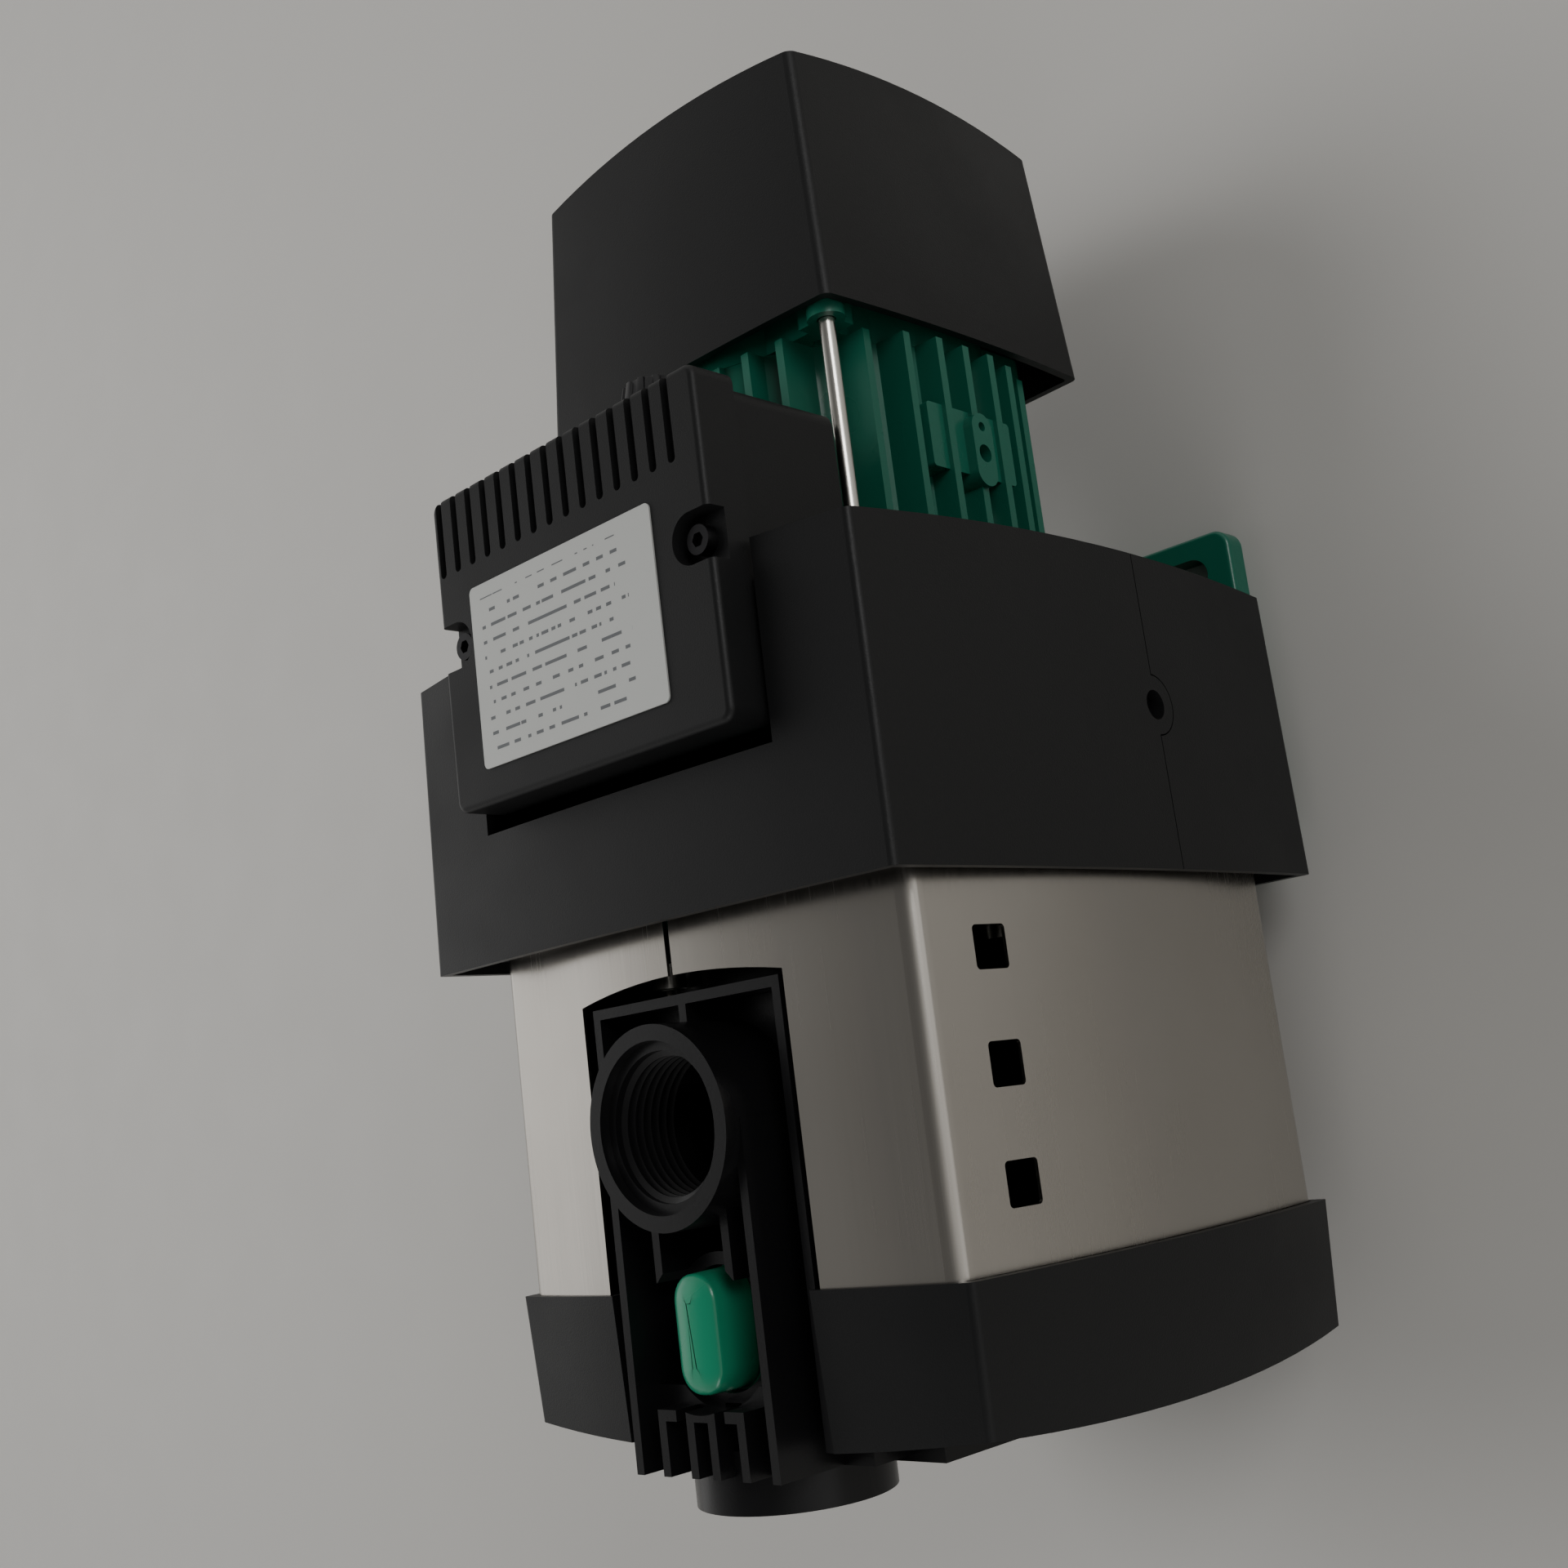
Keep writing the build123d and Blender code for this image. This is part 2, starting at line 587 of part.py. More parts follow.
with BuildPart() as impeller_nut:
    with BuildSketch(across(STAGE_Y + 1)):
        RegularPolygon(9.5, 6, major_radius=False)
        Circle(SHAFT_PUMP_R + 0.02, mode=Mode.SUBTRACT)
    extrude(amount=6.5)
finish(impeller_nut.part, "impeller_nut")

with BuildPart() as stage_clamp_ring:
    add(sleeve(STAGE_END_Y, SPIGOT_Y, 43.2, HOUSING_CUP_R))
    with BuildSketch(level(SHAFT_Z)):
        with Locations((0, (STAGE_END_Y + SPIGOT_Y) / 2)):
            SlotOverall(56, 12)
    extrude(amount=BARREL_R, both=True, mode=Mode.SUBTRACT)
finish(stage_clamp_ring.part, "stage_clamp_ring")


def ring_seal(y, radius, section):
    """Round-section sealing ring about the shaft."""
    with BuildPart() as ring:
        with BuildSketch(LENGTHWISE):
            with Locations((y, radius)):
                Circle(section)
        revolve(axis=SHAFT)
    return ring.part


finish(ring_seal(STAGE_Y + 3, BARREL_R - FIT - 1.2, 1.15), "stage_seal_ring")
finish(ring_seal(CASING_REAR_Y - 1.5, BARREL_R + 1.8, 1.4), "casing_seal_ring")

# ================================================================== shaft seal
finish(sleeve(SPIGOT_Y, SPIGOT_Y + 5.5, SHAFT_SEAL_R + 0.6, 13.8), "seal_seat")
finish(
    turned([
        (SPIGOT_Y - 9, SHAFT_SEAL_R + 0.02), (SPIGOT_Y - 0.1, SHAFT_SEAL_R + 0.02),
        (SPIGOT_Y - 0.1, 11.5), (SPIGOT_Y - 4, 11.5), (SPIGOT_Y - 4, 13.5), (SPIGOT_Y - 9, 13.5),
    ]),
    "seal_head",
)
bellows_y = SPIGOT_Y - 9
finish(
    turned([
        (bellows_y - 13, SHAFT_SEAL_R + 0.02), (bellows_y, SHAFT_SEAL_R + 0.02), (bellows_y, 13),
        (bellows_y - 3, 10), (bellows_y - 6, 13), (bellows_y - 9, 10), (bellows_y - 13, 13),
    ]),
    "seal_bellows",
)

# ================================================================== motor bracket
with BuildPart() as motor_bracket:
    # flange, spigot and neck
    add(turned([
        (SPIGOT_Y, SHAFT_SEAL_R + 1.6), (SHIELD_Y, SHAFT_SEAL_R + 1.6), (SHIELD_Y, 20),
        (CASING_REAR_Y + 14, 20), (CASING_REAR_Y + 8, 30), (CASING_REAR_Y + 8, FLANGE_R),
        (CASING_REAR_Y, FLANGE_R), (CASING_REAR_Y, BARREL_R - FIT), (SPIGOT_Y, BARREL_R - FIT),
    ]))
    add(sleeve(CASING_REAR_Y + 8, SHIELD_Y, 34, 40))
    # end plate of the motor with corner lugs
    with BuildSketch(across(HOUSING_Y)):
        RectangleRounded(2 * PLATE_HALF, 2 * PLATE_HIGH, 8)
    extrude(amount=SHIELD_THICK)
    # pad that stands on the foot
    with BuildSketch(level(SEAT_Z)):
        with Locations((0, -7)):
            RectangleRounded(60, 42, 4)
    extrude(amount=16)
    # windows in the lantern, seal recess, bearing seat
    with BuildSketch(Plane.YZ.offset(-PLATE_HALF)):
        with Locations(((CASING_REAR_Y + 8 + SHIELD_Y) / 2, SHAFT_Z)):
            RectangleRounded(32, 40, 5)
    extrude(amount=2 * PLATE_HALF, mode=Mode.SUBTRACT)
    add(turned([
        (CASING_REAR_Y + 12, SHAFT_SEAL_R + 1.6), (SHIELD_Y, SHAFT_SEAL_R + 1.6), (SHIELD_Y, 20),
        (CASING_REAR_Y + 12, 20),
    ]))
    add(sleeve(SPIGOT_Y, SPIGOT_Y + 6, 0, 14), mode=Mode.SUBTRACT)
    add(sleeve(FRONT_BEARING_Y, HOUSING_Y, 0, BEARING_R), mode=Mode.SUBTRACT)
    add(sleeve(SPIGOT_Y, HOUSING_Y, 0, SHAFT_SEAL_R + 1.6), mode=Mode.SUBTRACT)
    # screw and rod holes
    with BuildSketch(across(CASING_REAR_Y + 8)):
        with PolarLocations(FLANGE_SCREW_R, FLANGE_SCREWS, start_angle=22.5):
            Circle(2.5 + FIT)
    extrude(amount=8, mode=Mode.SUBTRACT)
    with BuildSketch(across(HOUSING_Y)):
        with Locations(*rod_spots):
            Circle(ROD_R + FIT)
    extrude(amount=SHIELD_THICK, mode=Mode.SUBTRACT)
    for screw_y in FOOT_SCREW_Y:
        with BuildSketch(level(SEAT_Z)):
            with Locations((-FOOT_SCREW_X, screw_y), (FOOT_SCREW_X, screw_y)):
                Circle(3 + FIT)
        extrude(amount=12, mode=Mode.SUBTRACT)
finish(motor_bracket.part, "motor_bracket")


# ================================================================== fasteners
def cap_screw(plane, spots, shank_r, length, head_r, head, drive):
    """Socket screws: heads stand on the plane, shanks go into it, hexagon drive."""
    with BuildPart() as screws:
        with BuildSketch(plane):
            with Locations(*spots):
                Circle(shank_r)
        extrude(amount=-length)
        with BuildSketch(plane):
            with Locations(*spots):
                Circle(head_r)
        extrude(amount=head)
        with BuildSketch(plane.offset(head)):
            with Locations(*spots):
                RegularPolygon(drive, 6)
        extrude(amount=-head / 2, mode=Mode.SUBTRACT)
    return screws.part


flange_spots = [
    (
        FLANGE_SCREW_R * cos(radians(22.5 + 360 / FLANGE_SCREWS * n)),
        FLANGE_SCREW_R * sin(radians(22.5 + 360 / FLANGE_SCREWS * n)),
    )
    for n in range(FLANGE_SCREWS)
]
finish(
    cap_screw(across(FLANGE_Y), flange_spots, 2.5, FLANGE_THICK + 8, 4.2, 5.0, 2.3),
    "casing_screws",
)

# ================================================================== shroud
shroud_length = SHROUD_REAR_Y - SHROUD_FRONT_Y


def shroud_block(inset):
    """Body of the shroud, or of the room inside it when inset is its wall."""
    long = shroud_length + SHROUD_ARCH
    with BuildPart() as block:
        for y, share in ((SHROUD_REAR_Y + SHROUD_ARCH, long / shroud_length), (SHROUD_FRONT_Y, 0.0)):
            half = SHROUD_HALF - share * (SHROUD_HALF - SHROUD_REAR_HALF) - inset
            low = SHROUD_BOTTOM_REL + share * SHROUD_TAPER + inset
            high = SHROUD_TOP_REL - share * SHROUD_TAPER - inset
            with BuildSketch(across(y)):
                add(crowned_section(half, low, high, SHROUD_CROWN, SHROUD_EDGE - inset / 2))
        loft()
    return block.part


with BuildPart() as shroud:
    add(shroud_block(0))
    # arched rear edge
    shroud_dome = dome_radius(SHROUD_REAR_HALF, SHROUD_TOP_REL, SHROUD_ARCH)
    with Locations((0, SHROUD_REAR_Y + SHROUD_ARCH - shroud_dome, SHAFT_Z)):
        Sphere(shroud_dome, mode=Mode.INTERSECT)
    # room inside, leaving a front wall and a recessed rear wall
    front_wall_y = SHROUD_FRONT_Y + SHROUD_LIP
    rear_wall_y = SHROUD_REAR_Y - 8
    with BuildPart(mode=Mode.PRIVATE) as rooms:
        add(shroud_block(WALL))
        for wall_y in (front_wall_y, rear_wall_y):
            with Locations((0, wall_y + 1, SHAFT_Z)):
                Box(400, 2, 400, mode=Mode.SUBTRACT)
    add(rooms.part, mode=Mode.SUBTRACT)
    # opening around the jacket
    with BuildSketch(across(front_wall_y + 5)):
        gap_half = JACKET_HALF + FIT
        add(crowned_section(gap_half, -gap_half, gap_half, JACKET_CROWN, JACKET_CORNER))
    extrude(amount=8, mode=Mode.SUBTRACT)
    # opening around the motor, and air slots beside it
    with BuildSketch(across(rear_wall_y + 5)):
        RectangleRounded(2 * PLATE_HALF + 10, 2 * PLATE_HALF + 6, 12)
        for side in (-1, 1):
            with Locations((side * 65, -36), (side * 65, -18), (side * 65, 0), (side * 65, 18)):
                SlotOverall(13, 5)
    extrude(amount=8, mode=Mode.SUBTRACT)
    # bay for the terminal box, open to the rear, and room for the foot below
    with BuildSketch(level(SHAFT_Z + BOX_SEAT_REL - 6)):
        with Locations((0, BOX_BAY_FRONT_Y + 50)):
            Rectangle(2 * BOX_BAY_HALF, 100)
    extrude(amount=60, mode=Mode.SUBTRACT)
    with BuildSketch(level(0)):
        Rectangle(2 * (CHEEK_AT + 1), CHEEK_LONG + 20)
    extrude(amount=SEAT_Z + 2, mode=Mode.SUBTRACT)

with BuildPart() as seam_upper:
    with Locations((0, 0, SHAFT_Z + SEAM_REL + 100)):
        Box(400, 400, 200)
    with BuildSketch(Plane.YZ.offset(-100)):
        with Locations((TAB_Y, SHAFT_Z + SEAM_REL)):
            Circle(TAB_R)
    extrude(amount=200)

with BuildPart() as seam_gap:
    with Locations((0, 0, SHAFT_Z + SEAM_REL + 100 - FIT)):
        Box(400, 400, 200)
    with BuildSketch(Plane.YZ.offset(-100)):
        with Locations((TAB_Y, SHAFT_Z + SEAM_REL)):
            Circle(TAB_R + FIT)
    extrude(amount=200)

tab_inner_x = 70.0


def side_boss(radius, near, far):
    """Pair of round bosses along X at the seam screws, one on each side."""
    with BuildPart() as bosses:
        for side in (-1, 1):
            with BuildSketch(Plane.YZ.offset(side * near)):
                with Locations((TAB_Y, SHAFT_Z + SEAM_REL)):
                    Circle(radius)
            extrude(amount=side * (far - near))
    return bosses.part


with BuildPart() as shroud_upper:
    add(shroud.part)
    add(seam_upper.part, mode=Mode.INTERSECT)
    add(side_boss(TAB_R, tab_inner_x, SHROUD_HALF))
    add(side_boss(3.6, SHROUD_HALF - 3.5, SHROUD_HALF + 10), mode=Mode.SUBTRACT)
    add(side_boss(2.0 + FIT, tab_inner_x - 1, SHROUD_HALF + 10), mode=Mode.SUBTRACT)
finish(shroud_upper.part, "shroud_upper")

with BuildPart() as shroud_lower:
    add(shroud.part)
    add(seam_gap.part, mode=Mode.SUBTRACT)
    with BuildPart(mode=Mode.PRIVATE) as lower_bosses:
        for side in (-1, 1):
            with Locations((side * 69, TAB_Y, SHAFT_Z + SEAM_REL - 15)):
                Box(18, 2 * TAB_R, 14)
        add(side_boss(TAB_R + FIT, tab_inner_x - FIT, SHROUD_HALF + 10), mode=Mode.SUBTRACT)
        add(side_boss(TAB_R, 60, tab_inner_x - FIT))
        for side in (-1, 1):
            with Locations((side * 65, TAB_Y, SHAFT_Z + SEAM_REL - 8)):
                Box(2 * (tab_inner_x - FIT - 65), 2 * TAB_R, 12)
    add(lower_bosses.part)
    add(side_boss(2.0 + RUNNING, 58, SHROUD_HALF + 10), mode=Mode.SUBTRACT)
finish(shroud_lower.part, "shroud_lower")

with BuildPart() as shroud_screws:
    for side in (-1, 1):
        head_plane = Plane(
            origin=(side * (SHROUD_HALF - 3.5), TAB_Y, SHAFT_Z + SEAM_REL),
            x_dir=(0, side, 0), z_dir=(side, 0, 0),
        )
        add(cap_screw(head_plane, [(0, 0)], 2.0, 12.0, 3.3, 2.4, 1.5))
finish(shroud_screws.part, "shroud_screws")

# ================================================================== foot
with BuildPart() as foot:
    with BuildSketch(level(0)):
        RectangleRounded(FOOT_WIDE, FOOT_LONG, 5)
        with GridLocations(SLOT_SPACING_X, SLOT_SPACING_Y, 2, 2):
            SlotOverall(SLOT_LONG, SLOT_WIDE, mode=Mode.SUBTRACT)
    extrude(amount=FOOT_THICK)
    fillet(foot.faces().sort_by(Axis.Z)[-1].outer_wire().edges(), 1.2)
    with BuildSketch(level(FOOT_THICK)):
        for side in (-1, 1):
            with Locations((side * (CHEEK_AT - CHEEK / 2), 0)):
                Rectangle(CHEEK, CHEEK_LONG)
    extrude(amount=SEAT_Z - FOOT_THICK)
    with BuildSketch(level(SEAT_Z - SEAT_THICK)):
        Rectangle(2 * CHEEK_AT, CHEEK_LONG)
    extrude(amount=SEAT_THICK)
    for screw_y in FOOT_SCREW_Y:
        with BuildSketch(level(SEAT_Z)):
            with Locations((-FOOT_SCREW_X, screw_y), (FOOT_SCREW_X, screw_y)):
                Circle(3 + FIT)
        extrude(amount=-SEAT_THICK, mode=Mode.SUBTRACT)
finish(foot.part, "foot")

seat_under = Plane(origin=(0, 0, SEAT_Z - SEAT_THICK), x_dir=(1, 0, 0), z_dir=(0, 0, -1))
foot_spots = [(x, -y) for y in FOOT_SCREW_Y for x in (-FOOT_SCREW_X, FOOT_SCREW_X)]
finish(cap_screw(seat_under, foot_spots, 3.0, SEAT_THICK + 10, 5.0, 5.0, 2.8), "foot_screws")


# ================================================================== motor housing
def fin_row(tips, flat, reach_in):
    """Fins side by side along the shaft, pointing along +X before they are turned."""
    with BuildPart() as row:
        for number, tip in enumerate(tips):
            for side in ((-1, 1) if number else (1,)):
                with BuildSketch(across(REAR_SHIELD_Y)):
                    with Locations(((tip + reach_in) / 2, side * number * FIN_PITCH)):
                        Rectangle(tip - reach_in, flat)
                extrude(amount=HOUSING_LENGTH)
    return row.part


side_fins = fin_row(FIN_TIPS, FIN, 20)
top_fins = fin_row(TOP_FIN_TIPS, FIN, 20)
EARTH_Y = 58.1

with BuildPart() as motor_housing:
    add(sleeve(HOUSING_Y, REAR_SHIELD_Y, 0, HOUSING_R))
    add(side_fins)
    add(side_fins.rotate(SHAFT, 180))
    add(top_fins.rotate(SHAFT, 90))
    add(top_fins.rotate(SHAFT, -90))
    # flat seat for the terminal box
    with BuildSketch(level(SHAFT_Z + 30)):
        with Locations((0, (HOUSING_Y + BOX_REAR_Y) / 2)):
            Rectangle(64, BOX_REAR_Y - HOUSING_Y)
    extrude(amount=BOX_SEAT_REL - 30)
    # earthing pad among the fins, with a raised boss and two holes
    with BuildSketch(Plane.YZ.offset(30)):
        with Locations((60.3, SHAFT_Z + 1)):
            RectangleRounded(16.6, 32, 1.0)
    extrude(amount=20.4)
    with BuildSketch(Plane.YZ.offset(30)):
        with Locations((EARTH_Y, SHAFT_Z)):
            SlotOverall(19, 7.6)
    extrude(amount=23.2)
    with BuildSketch(Plane.YZ.offset(45.5)):
        with Locations((EARTH_Y - 1, SHAFT_Z)):
            Circle(2.3)
        with Locations((EARTH_Y + 6, SHAFT_Z)):
            Circle(1.2)
    extrude(amount=10, mode=Mode.SUBTRACT)
    # bore, and the cable way up into the box
    add(sleeve(HOUSING_Y, REAR_SHIELD_Y, 0, HOUSING_BORE_R), mode=Mode.SUBTRACT)
    with BuildSketch(level(SHAFT_Z + 30)):
        with Locations((20, 22)):
            Circle(5)
    extrude(amount=BOX_SEAT_REL, mode=Mode.SUBTRACT)
finish(motor_housing.part, "motor_housing")

# ================================================================== stator and rotor
with BuildPart() as stator_core:
    add(sleeve(STACK_Y, STACK_Y + STACK_LENGTH, STATOR_BORE_R, HOUSING_BORE_R - 0.1))
    with BuildSketch(across(STACK_Y + STACK_LENGTH)):
        with PolarLocations(STATOR_BORE_R + 6.5, 24):
            SlotOverall(8, 3.6)
    extrude(amount=STACK_LENGTH, mode=Mode.SUBTRACT)
finish(stator_core.part, "stator_core")

with BuildPart() as stator_windings:
    for start, end in ((STACK_Y - 9, STACK_Y - 0.3), (STACK_Y + STACK_LENGTH + 0.3, STACK_Y + STACK_LENGTH + 9)):
        with BuildSketch(LENGTHWISE):
            with Locations(((start + end) / 2, 33)):
                RectangleRounded(end - start, 12, 3)
        revolve(axis=SHAFT)
finish(stator_windings.part, "stator_windings")

rotor_end = STACK_Y + STACK_LENGTH
finish(
    turned([
        (STACK_Y, SHAFT_ROTOR_R + 0.02), (rotor_end, SHAFT_ROTOR_R + 0.02), (rotor_end, 13),
        (rotor_end + 4, 13), (rotor_end + 4, 21), (rotor_end, 21), (rotor_end, ROTOR_R),
        (STACK_Y, ROTOR_R), (STACK_Y, 21), (STACK_Y - 4, 21), (STACK_Y - 4, 13), (STACK_Y, 13),
    ]),
    "rotor_core",
)

SHAFT_FRONT_Y = STAGE_Y - 7.5
SHAFT_REAR_Y = FAN_Y + FAN_WIDTH + 4
CLIP_Y = FAN_Y + FAN_WIDTH + 0.3
rear_bearing_end = REAR_BEARING_Y + BEARING_WIDTH
with BuildPart() as shaft:
    add(turned([
        (SHAFT_FRONT_Y, 0), (SHAFT_FRONT_Y, SHAFT_PUMP_R - 0.8), (SHAFT_FRONT_Y + 0.8, SHAFT_PUMP_R),
        (STAGE_END_Y, SHAFT_PUMP_R), (STAGE_END_Y, SHAFT_SEAL_R), (FRONT_BEARING_Y, SHAFT_SEAL_R),
        (FRONT_BEARING_Y, BEARING_BORE_R), (HOUSING_Y, BEARING_BORE_R), (HOUSING_Y, SHAFT_ROTOR_R),
        (REAR_BEARING_Y, SHAFT_ROTOR_R), (REAR_BEARING_Y, BEARING_BORE_R),
        (rear_bearing_end, BEARING_BORE_R), (rear_bearing_end, SHAFT_PUMP_R),
        (CLIP_Y, SHAFT_PUMP_R), (CLIP_Y, SHAFT_PUMP_R - 0.6), (CLIP_Y + 1.2, SHAFT_PUMP_R - 0.6),
        (CLIP_Y + 1.2, SHAFT_PUMP_R), (SHAFT_REAR_Y, SHAFT_PUMP_R), (SHAFT_REAR_Y, 0),
    ]))
finish(shaft.part, "shaft")

# ================================================================== bearings
PITCH_R = (BEARING_R + BEARING_BORE_R) / 2
for place, start in (("front", FRONT_BEARING_Y), ("rear", REAR_BEARING_Y)):
    middle = start + BEARING_WIDTH / 2
    groove = ring_seal(middle, PITCH_R, BALL_R + RUNNING)
    with BuildPart() as outer_ring:
        add(sleeve(start, start + BEARING_WIDTH, PITCH_R + 1.7, BEARING_R - RUNNING))
        add(groove, mode=Mode.SUBTRACT)
    finish(outer_ring.part, f"{place}_bearing_outer")
    with BuildPart() as inner_ring:
        add(sleeve(start, start + BEARING_WIDTH, BEARING_BORE_R + 0.02, PITCH_R - 1.7))
        add(groove, mode=Mode.SUBTRACT)
    finish(inner_ring.part, f"{place}_bearing_inner")
    with BuildPart() as balls:
        with Locations(across(middle)):
            with PolarLocations(PITCH_R, BALLS):
                Sphere(BALL_R)
    finish(balls.part, f"{place}_bearing_balls")

finish(
    sleeve(REAR_BEARING_Y - 1.6, REAR_BEARING_Y - 0.3, BEARING_R - 4, BEARING_R - FIT),
    "preload_washer",
)

# ================================================================== rear end plate and rods
shield_rear_y = REAR_SHIELD_Y + REAR_SHIELD_THICK
with BuildPart() as rear_shield:
    with BuildSketch(across(shield_rear_y)):
        Circle(SHIELD_R)
        RectangleRounded(2 * SHIELD_CORE, 2 * SHIELD_CORE, 5)
        with Locations(*rod_spots[:2]):
            Circle(EAR_R)
        # webs that carry the ears from the core
        for side in (-1, 1):
            with Locations((side * (ROD_X - EAR_WEB), ROD_REL - EAR_WEB)):
                Rectangle(2 * EAR_R, 2 * EAR_R)
    extrude(amount=REAR_SHIELD_THICK)
    add(sleeve(REAR_SHIELD_Y - 9, REAR_SHIELD_Y, 0, BEARING_R + 4))
    add(sleeve(REAR_SHIELD_Y - 2.5, REAR_SHIELD_Y, 0, HOUSING_BORE_R - FIT))
    add(sleeve(REAR_SHIELD_Y - 9, rear_bearing_end, 0, BEARING_R), mode=Mode.SUBTRACT)
    add(sleeve(REAR_SHIELD_Y - 9, shield_rear_y, 0, SHAFT_PUMP_R + 2), mode=Mode.SUBTRACT)
    with BuildSketch(across(shield_rear_y)):
        with Locations(*rod_spots):
            Circle(ROD_R + FIT)
        with GridLocations(2 * POST_AT, 2 * POST_AT, 2, 2):
            Circle(1.75)
    extrude(amount=REAR_SHIELD_THICK, mode=Mode.SUBTRACT)
finish(rear_shield.part, "rear_shield")

with BuildPart() as tie_rods:
    with BuildSketch(across(shield_rear_y + 5)):
        with Locations(*rod_spots):
            Circle(ROD_R)
    extrude(amount=shield_rear_y + 5 - SHIELD_Y)
    # heads on the upper pair only: the lower pair is screwed into the bracket
    with BuildSketch(across(SHIELD_Y)):
        with Locations(*rod_spots[:2]):
            RegularPolygon(3.5, 6, major_radius=False)
    extrude(amount=2.8)
finish(tie_rods.part, "tie_rods")

with BuildPart() as tie_rod_nuts:
    with BuildSketch(across(shield_rear_y + 3.2)):
        with Locations(*rod_spots):
            RegularPolygon(3.4, 6, major_radius=False)
            Circle(ROD_R + RUNNING, mode=Mode.SUBTRACT)
    extrude(amount=3.2)
finish(tie_rod_nuts.part, "tie_rod_nuts")

# ================================================================== cooling fan
with BuildPart() as cooling_fan:
    add(sleeve(FAN_Y, FAN_Y + FAN_WIDTH, SHAFT_PUMP_R + 0.02, FAN_HUB_R))
    add(sleeve(FAN_Y, FAN_Y + 2, FAN_HUB_R - 0.5, FAN_R - 4))
    with BuildSketch(across(FAN_Y + FAN_WIDTH)):
        with PolarLocations((FAN_R + FAN_HUB_R) / 2, FAN_BLADES):
            Rectangle(FAN_R - FAN_HUB_R + 1, 1.8)
    extrude(amount=FAN_WIDTH)
finish(cooling_fan.part, "cooling_fan")
finish(sleeve(CLIP_Y + 0.1, CLIP_Y + 1.1, SHAFT_PUMP_R - 0.5, SHAFT_PUMP_R + 2.2), "fan_clip")


# ================================================================== fan cover
def cover_block(inset):
    """Body of the fan cover, or of the room inside it when inset is its wall."""
    end_y = FAN_COVER_REAR_Y + COVER_DOME
    share = (end_y - FAN_COVER_FRONT_Y) / (FAN_COVER_REAR_Y - FAN_COVER_FRONT_Y)
    radius = dome_radius(COVER_REAR_HALF, COVER_REAR_HIGH, COVER_DOME)
    with BuildPart() as block:
        for y, part_way in ((end_y, share), (FAN_COVER_FRONT_Y, 0.0)):
            half = COVER_HALF - part_way * (COVER_HALF - COVER_REAR_HALF) - inset
            high = COVER_HIGH - part_way * (COVER_HIGH - COVER_REAR_HIGH) - inset
            with BuildSketch(across(y)):
                add(crowned_section(half, -high, high, COVER_CROWN, 2.4 - inset / 2))
        loft()
        with Locations((0, end_y - radius, SHAFT_Z)):
            Sphere(radius - inset, mode=Mode.INTERSECT)
    return block.part


post_spots = [(x, z) for x in (-POST_AT, POST_AT) for z in (-POST_AT, POST_AT)]
post_seat_y = shield_rear_y + FIT
with BuildPart() as fan_cover:
    add(cover_block(0))
    add(cover_block(COVER_WALL), mode=Mode.SUBTRACT)
    # screw posts from the end wall to the rear end plate
    with BuildPart(mode=Mode.PRIVATE) as posts:
        with BuildSketch(across(FAN_COVER_REAR_Y + COVER_DOME)):
            with Locations(*post_spots):
                Circle(POST_R)
        extrude(amount=FAN_COVER_REAR_Y + COVER_DOME - post_seat_y)
        add(cover_block(COVER_WALL / 2), mode=Mode.INTERSECT)
    add(posts.part)
    with BuildSketch(across(FAN_COVER_REAR_Y + COVER_DOME)):
        with Locations(*post_spots):
            Circle(POST_R - 1.4)
    extrude(amount=FAN_COVER_REAR_Y + COVER_DOME - post_seat_y - 5, mode=Mode.SUBTRACT)
    with BuildSketch(across(FAN_COVER_REAR_Y)):
        with Locations(*post_spots):
            Circle(1.75 + RUNNING)
    extrude(amount=FAN_COVER_REAR_Y - post_seat_y, mode=Mode.SUBTRACT)
    # air inlet slots in the end wall
    with BuildSketch(across(FAN_COVER_REAR_Y + COVER_DOME)):
        for row in range(-3, 4):
            reach = 2 * sqrt(36.0 ** 2 - (row * 8.0) ** 2)
            clear = reach if abs(row) < 3 else reach - 4
            with Locations((0, row * 8.0)):
                SlotOverall(clear, 4.4)
    extrude(amount=14, mode=Mode.SUBTRACT)
    # upright bars that keep the slots narrow
    with BuildPart(mode=Mode.PRIVATE) as bars:
        for bar_x in (-18.0, 0.0, 18.0):
            with Locations((bar_x, FAN_COVER_REAR_Y, SHAFT_Z)):
                Box(2.4, 20, 2 * COVER_REAR_HIGH - 6)
        add(cover_block(0.4), mode=Mode.INTERSECT)
        add(cover_block(COVER_WALL), mode=Mode.SUBTRACT)
    add(bars.part)
finish(fan_cover.part, "fan_cover")

finish(
    cap_screw(
        Plane(origin=(0, post_seat_y + 5, SHAFT_Z), x_dir=(1, 0, 0), z_dir=(0, 1, 0)),
        post_spots, 1.75, 11, 3.0, 2.4, 1.4,
    ),
    "fan_cover_screws",
)

